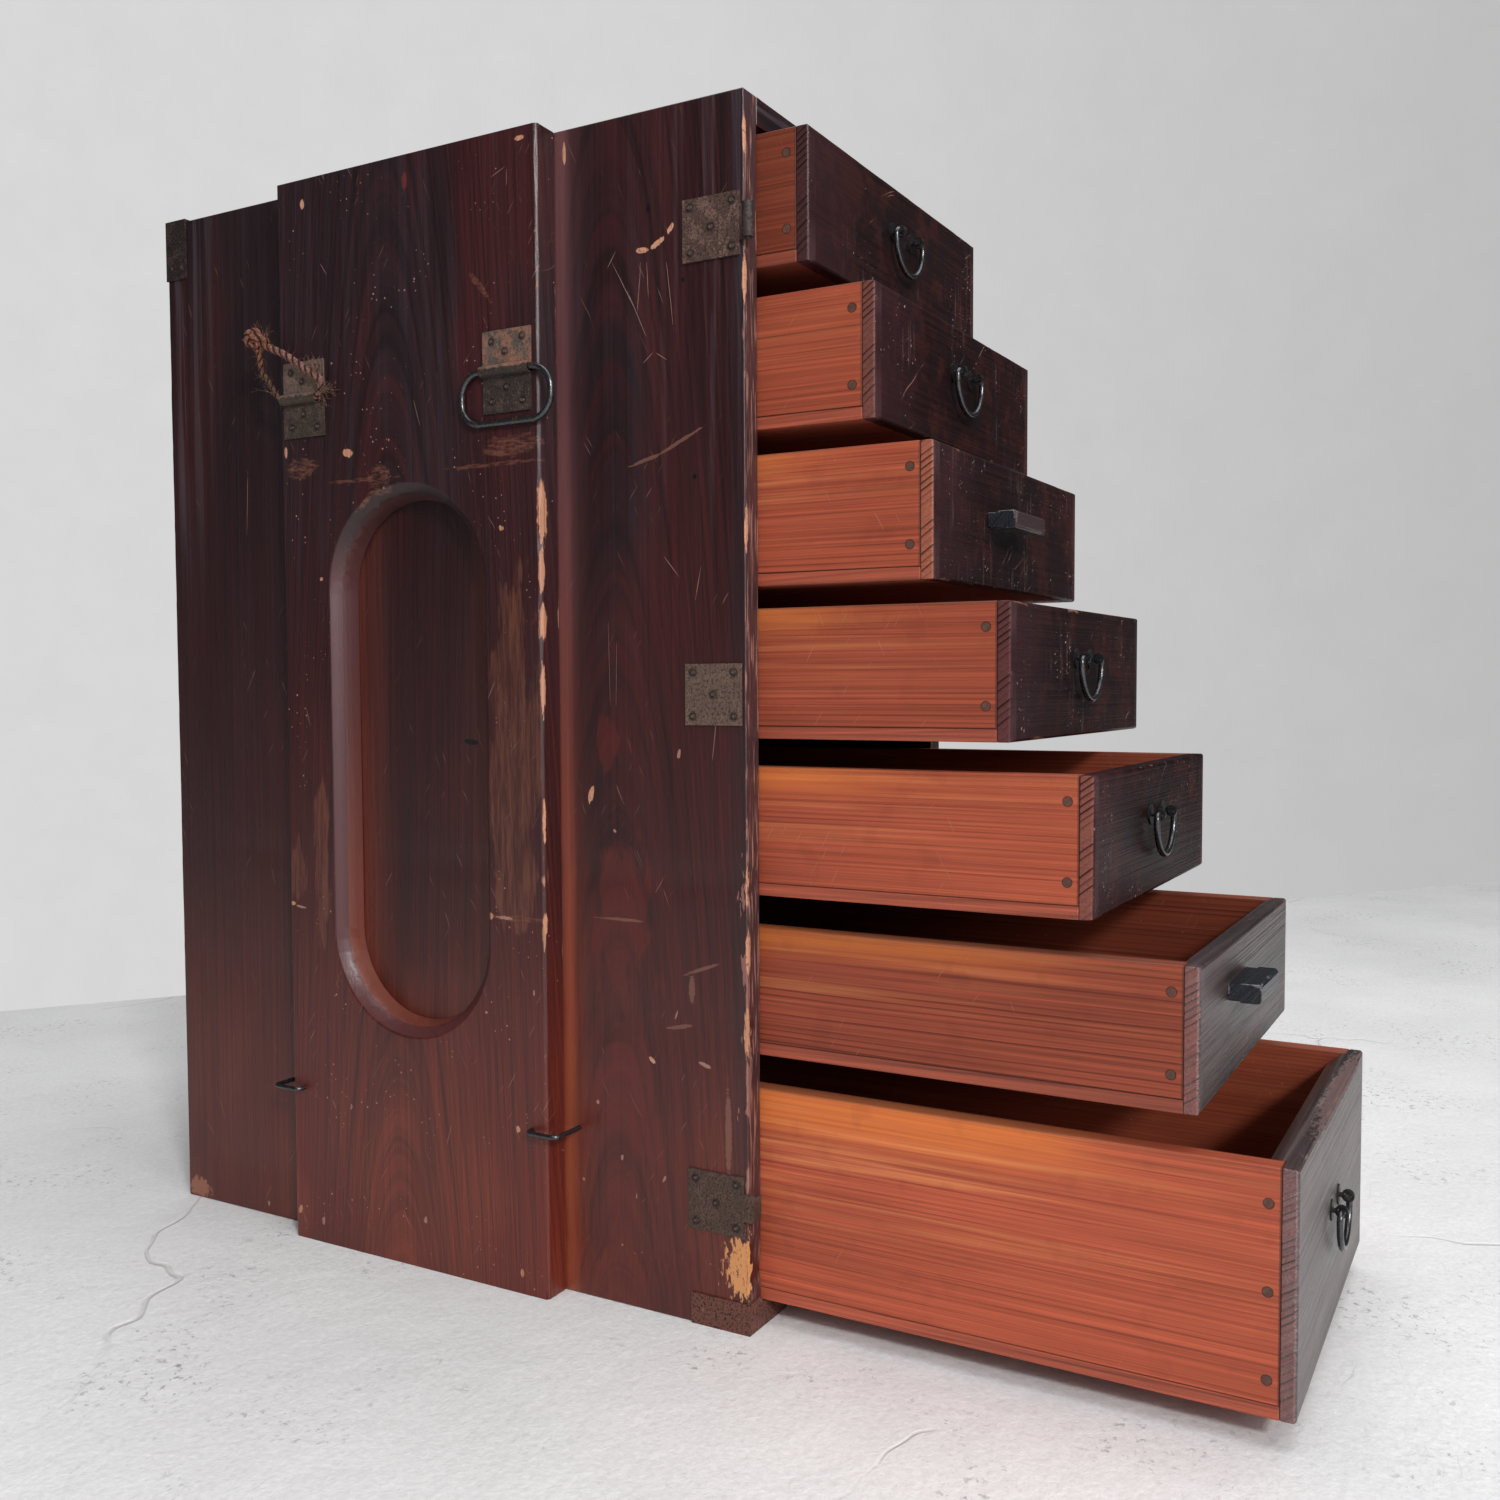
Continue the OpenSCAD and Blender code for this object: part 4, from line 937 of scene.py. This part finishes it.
def front_extra(k, lo, hi, tone, m, worn):
    """Reddish and dull patches, rubbed ends, a painted sheen on the left end, end grain and a darker
    place round the pull.
    """
    far = m.abs(m.x)
    red = m.patch(34 + k, 4, 0.66, 0.46, 0.62)
    m.lay(red, 0.3, srgb(72, 34, 28))
    dull = m.patch(60 - k, 4, 0.7, 0.5, 0.62)
    m.lay(dull, 0.7, srgb(22, 17, 20))
    m.lay(m.group(SPECKS, P=m.p, Scale=480, Size=0.42)["Mask"], 0.7, srgb(150, 126, 122))
    smear = m.noise(m.p, (420, 420, 30), 2, 0.5)
    smear = m.mul(m.step(smear, 0.55, 0.75), m.patch(24, 3, 0.5, 0.45, 0.62))
    m.lay(smear, 0.35, srgb(104, 84, 84))
    # painted sheen: the left end of each front is lighter
    m.lay(m.step(m.x, -0.05, -0.11), 0.4, srgb(58, 34, 38))
    lap = m.mul(m.step(far, hi[0] - 0.0085, hi[0] - 0.007), m.step(m.mottle, 0.35, 0.7))
    m.lay(lap, 0.5, srgb(78, 54, 56))
    end = m.step(far, hi[0] - 0.0009, hi[0] - 0.0003)
    hatch = m.mix(m.mul(m.ring, 1.3, clamp=True), tinted(tone, 1.25), tinted(tone, 0.2))
    m.cover(end, m.shade(hatch, m.add(m.fibre, 0.5)))
    middle = 0.5 * (lo[2] + hi[2])
    # a darker place round the pull
    pull = ((0, lo[1], middle), (0.03, 0.01, 0.026), 0)
    dark_round_pull = m.marks([pull], 1, (60, 60, 60), "Y")
    m.lay(dark_round_pull, 0.45, srgb(18, 11, 11))
    if k == 7:
        top = ((0.03, lo[1], hi[2]), (0.095, 0.008, 0.005), 0)
        torn = m.marks([top], 1.8, (200, 500, 420), "Y")
        m.lay(torn, 0.8, srgb(84, 52, 48))
        worn = m.either(worn, torn)
    return worn


for k, (bump, depth, gloss, dust, tone) in FRONTS.items():
    node = f"drawer_{k}_front"
    lo, hi = (Vector(c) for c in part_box(node))
    front = wood(node + "_wood", "XZY", (0.03 * k, lo[1] + 0.1, lo[2] - 0.02),
                 (1.6, 205, 165 + 10 * (k % 3)), srgb(34, 17, 17), srgb(13, 8, 8), lo, hi,
                 curve=380, wave=1.2, wear=0.45, wear_width=0.0011, bare=srgb(158, 108, 92),
                 rough=0.38 if k > 5 else 0.34, scratch=1.2, specks=1, ring=0.6, vein=1.8,
                 grain=2.2, bump=bump, relief=depth / 1000, gloss=gloss, dust=dust,
                 extra=partial(front_extra, k, lo, hi, tone))
    chips = []
    if k == 7:
        chips = [((x, lo[1], hi[2]), 0.013, 0.0026) for x in (-0.03, 0, 0.03, 0.052, 0.075, 0.1)]
    if k == 3:
        chips = [((0.098, lo[1], hi[2]), 0.008, 0.0022),
                 ((0.098, lo[1] + FRONT_T, hi[2]), 0.008, 0.002)]
    board(node, front, "X", 0.0007, 0.006, 0.0007, 40 + k, dents=chips)


def faded_face(m, worn):
    """The face of drawer 3's block has faded to brown."""
    m.lay(m.step(m.y, -0.357, -0.359), 0.7, srgb(66, 46, 46))
    return worn


for k, extra in ((3, faded_face), (6, None)):
    node = f"drawer_{k}_block"
    lo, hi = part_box(node)
    block = wood(node + "_wood", "XZY", (0, 0, 0), (8, 260, 260), srgb(28, 32, 38),
                 srgb(10, 12, 16), lo, hi, wear=0.6, bare=srgb(112, 104, 104), rough=0.3,
                 bump=1, relief=0.0006, specks=0.9, vein=2.2, gloss=0.45, extra=extra)
    board(node, block, "X", 0.0008, 0.005, 0.0006, 60 + k)

peg = wood("peg_wood", "XZY", (0, 0, 0), (40, 900, 900), srgb(82, 52, 42),
           srgb(44, 26, 22), (-9, -9, -9), (9, 9, 9), wear=0, rough=0.6)


# Iron
def iron(name, dark, rust, amount, rough=0.58, bump=0.6, patches=None, metal=0.4, pitted=0.8):
    """Hand-worked iron with a dark skin, rust in patches and pits."""
    m = Material(name)
    big = m.noise(m.p, 110, 4, 0.62)
    fine = m.noise(m.p, 900, 3, 0.65)
    rusty = m.step(m.add(big, m.sway(fine, 0.5)), 0.66 - amount * 0.3, 0.8 - amount * 0.3)
    m.base = m.mix(rusty, dark, rust)
    if patches:
        patches(m)
    m.lay(m.step(fine, 0.55, 0.72), 0.5, tinted(rust, 1.7))
    pits = m.patch(640, 3, 0.7, 0.5, 0.6)
    m.lay(pits, pitted, tinted(dark, 0.16))
    m.set(Base_Color=m.base, Metallic=metal, Roughness=m.add(m.mul(rusty, 0.25), rough),
          Normal=m.bump(m.add(big, m.mul(fine, 0.9)), bump, 0.0006))
    return m.mat


LEAF_Z = (0.627, 0.3665, 0.074)     # middles of the hinge leaves
LEAF_Y = -0.215                     # their middle, and how far the corner nails are from it
LEAF_NAIL = (0.0135, 0.0125)
STRAP_Y, STRAP_Z = 0.084, 0.5595    # middles of the folds, and the nails' places from them
STRAP_NAILS = [(-0.012, 0.0185), (0.011, 0.0175), (0.001, 0.011), (0, -0.01), (-0.012, -0.019),
               (0.011, -0.018)]


def nail_tones(m, near):
    """A painted shadow ring round each nail and a rubbed top on it; near is the distance to the
    nearest.
    """
    m.lay(m.step(near, 0.0036, 0.0017), 0.85, srgb(28, 20, 18))
    m.lay(m.step(near, 0.0012, 0.0006), 0.6, srgb(118, 100, 90))


def leaf_tones(m):
    """The three hinge leaves have weathered differently, and have painted shadow round their nails."""
    z = m.z
    off = [m.abs(m.sub(z, middle)) for middle in LEAF_Z]
    up = m.least(m.least(off[0], off[1]), off[2])
    here = m.join(0, m.abs(m.sub(m.y, LEAF_Y)), up)
    near = m.least(m.vec("LENGTH", here), m.vec("DISTANCE", here, (0, *LEAF_NAIL)))
    m.lay(m.band(z, LEAF_Z[1], 0.03, 0.005), 0.6, srgb(112, 92, 80))
    m.lay(m.band(z, LEAF_Z[2], 0.03, 0.005), 0.5, srgb(74, 58, 48))
    knuckle = m.mul(m.step(m.y, -CASE_Y, -CASE_Y - 0.001), m.band(z, LEAF_Z[0], 0.03, 0.005))
    m.lay(knuckle, 0.8, srgb(40, 38, 40))
    nail_tones(m, near)


def strap_tones(m):
    """Upper leaves tan with rust, lower ones dark; the rear plate greenish grey."""
    y, z = m.y, m.z
    upper = m.step(m.add(z, m.sway(m.noise(m.p, 300, 3), 0.004)), 0.56, 0.5612)
    tan = m.mix(m.patch(120, 3, 0.5, 0.45, 0.6), srgb(150, 108, 90), srgb(104, 92, 84))
    rear = m.step(y, 0, 0.01)
    tan = m.mix(rear, tan, srgb(124, 102, 92))
    low = m.mix(rear, srgb(54, 46, 42), srgb(68, 58, 48))
    m.cover(0.8, m.mix(upper, low, tan))
    here = m.join(0, m.sub(y, m.mul(m.math("SIGN", y), STRAP_Y)), m.sub(z, STRAP_Z))
    near = None
    for nail in STRAP_NAILS:
        off = m.vec("DISTANCE", here, (0, *nail))
        near = off if near is None else m.least(near, off)
    nail_tones(m, near)


def corner_tones(m):
    """The foot strap is red-brown, the upper one nearly black."""
    m.cover(0.8, m.mix(m.step(m.z, 0.3, 0.4), srgb(122, 76, 64), srgb(44, 34, 34)))


IRON = {
    "hinge_leaves": iron("hinge_iron", srgb(84, 62, 56), srgb(112, 86, 76), 0.6,
                         patches=leaf_tones, pitted=0.6),
    "strap_plates": iron("strap_iron", srgb(62, 54, 50), srgb(120, 90, 78), 0.6,
                         patches=strap_tones, pitted=0.45),
    "corner_straps": iron("corner_iron", srgb(52, 40, 38), srgb(104, 72, 62), 0.6,
                          patches=corner_tones),
}
dark_iron = iron("dark_iron", srgb(84, 85, 88), srgb(96, 84, 76), 0.3, 0.26, 0.14, metal=0.9,
                 pitted=0.4)
eye_iron = iron("rosette_iron", srgb(30, 29, 30), srgb(58, 48, 44), 0.3, 0.45)

for name, ob in frame["nodes"].items():
    slot = node_slot[name]
    mat = {"dark_iron": dark_iron, "peg_wood": peg, "runner_wood": runner}.get(slot, IRON.get(name))
    if name.endswith("_eyes"):
        mat = eye_iron
    if mat is None:
        continue
    ob.data.materials.clear()
    ob.data.materials.append(mat)
    if slot in ("rusty_iron", "dark_iron"):
        ob.data.set_sharp_from_angle(angle=radians(35))
    if name in IRON:
        worn_edge = ob.modifiers.new("worn_edge", "BEVEL")
        worn_edge.width = 0.00035
        worn_edge.segments = 2
        worn_edge.angle_limit = radians(50)
        worn_edge.harden_normals = True


# Stage
floor_mesh = bpy.data.meshes.new("floor")
corners = [(0.16, 0.915, 0), (-6, 5.44, 0), (-6, -6, 0), (6, -6, 0), (6, -3.37, 0)]
floor_mesh.from_pydata(corners, [], [(0, 1, 2, 3, 4)])
floor = bpy.data.objects.new("floor", floor_mesh)
scene.collection.objects.link(floor)
fm = Material("floor_paint")
bent = fm.vec("MULTIPLY", fm.noise(fm.p, 5, 3, 0.6, color=True), (0.16, 0.16, 0))
bent = fm.vec("ADD", fm.p, bent)
crack = fm.node("TexVoronoi", {"Vector": bent, "Scale": 1.9}, feature="DISTANCE_TO_EDGE")
crack = fm.mul(fm.step(crack.outputs[0], 0.0042, 0.0008), fm.patch(4, 2, 0.5, 0.46, 0.56))
cloud = fm.noise(fm.p, 2.6, 6, 0.62)
fleck = fm.mul(fm.patch(160, 4, 0.75, 0.56, 0.63), fm.patch(7, 4, 0.7, 0.48, 0.66))
line = fm.noise(bent, (9, 420, 1), 2, 0.6)
line = fm.mul(fm.step(line, 0.66, 0.74), fm.patch(6, 2, 0.5, 0.46, 0.6))
colour = fm.mix(fm.step(cloud, 0.25, 0.75), (0.66, 0.66, 0.67), (0.78, 0.78, 0.78))
grain = fm.add(fm.mul(fm.noise(fm.p, 260, 3, 0.7), 0.36), 0.82)
colour = fm.shade(colour, grain)
dust = fm.mul(fm.patch(420, 4, 0.7, 0.6, 0.68), fm.step(cloud, 0.42, 0.6))
for mask, amount, grey in ((fleck, 0.75, 0.22), (dust, 0.4, 0.34), (line, 0.5, 0.42),
                           (crack, 0.32, 0.42)):
    colour = fm.over(colour, mask, amount, (grey, grey, grey))
relief = fm.sub(fm.noise(fm.p, 44, 7, 0.7), fm.mul(crack, 0.8))
fm.set(Base_Color=colour, Roughness=0.62, Normal=fm.bump(relief, 0.45, 0.004))
floor_mesh.materials.append(fm.mat)

AWAY = Vector((0.49, -0.87, 0))       # the way the painted backdrop grows darker
ASIDE = Vector((-0.87, 0.49, 0))      # seen mirrored in the strap side
BEHIND = Vector((-0.49, -0.87, 0))    # behind the camera
world = bpy.data.worlds.new("room")
scene.world = world
world.use_nodes = True
w = Tree(world.node_tree)
w.t.nodes.clear()
ray = w.node("LightPath").outputs
looking = w.node("TexCoord").outputs["Generated"]
# the backdrop seen by the camera: painted falloff of light, darker towards AWAY, over plaster grain
away = w.mul(w.vec("DOT_PRODUCT", looking, AWAY), 0.8)
wall_tone = w.ramp(w.add(away, 0.5), [(0, 0.69), (0.45, 0.66), (1, 0.46)])
plaster = w.add(0.95, w.mul(w.noise(looking, 26, 6, 0.7), 0.1))
wall_tone = w.shade(wall_tone, plaster)
mirrored = 0.05
for way, low, high, glow in ((ASIDE, 0.1, 0.9, 0.04), (BEHIND, 0.5, 0.95, 0.3)):
    lit = w.step(w.vec("DOT_PRODUCT", looking, way), low, high)
    mirrored = w.add(mirrored, w.mul(lit, glow))
mirrored = w.mix(1, w.grey(mirrored), (0.92, 0.97, 1.08), "MULTIPLY")
soft = w.mix(ray["Is Glossy Ray"], (0.27, 0.27, 0.27), mirrored)
seen = w.mix(ray["Is Camera Ray"], soft, wall_tone)
bg = w.node("Background", {"Color": seen, "Strength": 1})
w.node("OutputWorld", {0: bg.outputs[0]})

MIDDLE = Vector((0, -0.25, 0.3))
LIGHTS = (      # name, place, size and watts
    ("key", MIDDLE + 3.4 * Vector((-0.6, -0.66, 0.47)), (0.35, 0.35), 62),
    ("fill", MIDDLE + Vector((-1.8, -2.45, 1.25)), (2.2, 1.4), 36),
    ("top", Vector((0.2, -0.6, 3)), (3, 3), 72))
for name, at, size, watts in LIGHTS:
    data = bpy.data.lights.new(name, "AREA")
    data.shape = "RECTANGLE"
    data.size, data.size_y = size
    data.energy = watts
    ob = bpy.data.objects.new(name, data)
    ob.location = at
    ob.rotation_euler = (MIDDLE - at).to_track_quat("-Z", "Y").to_euler()
    scene.collection.objects.link(ob)
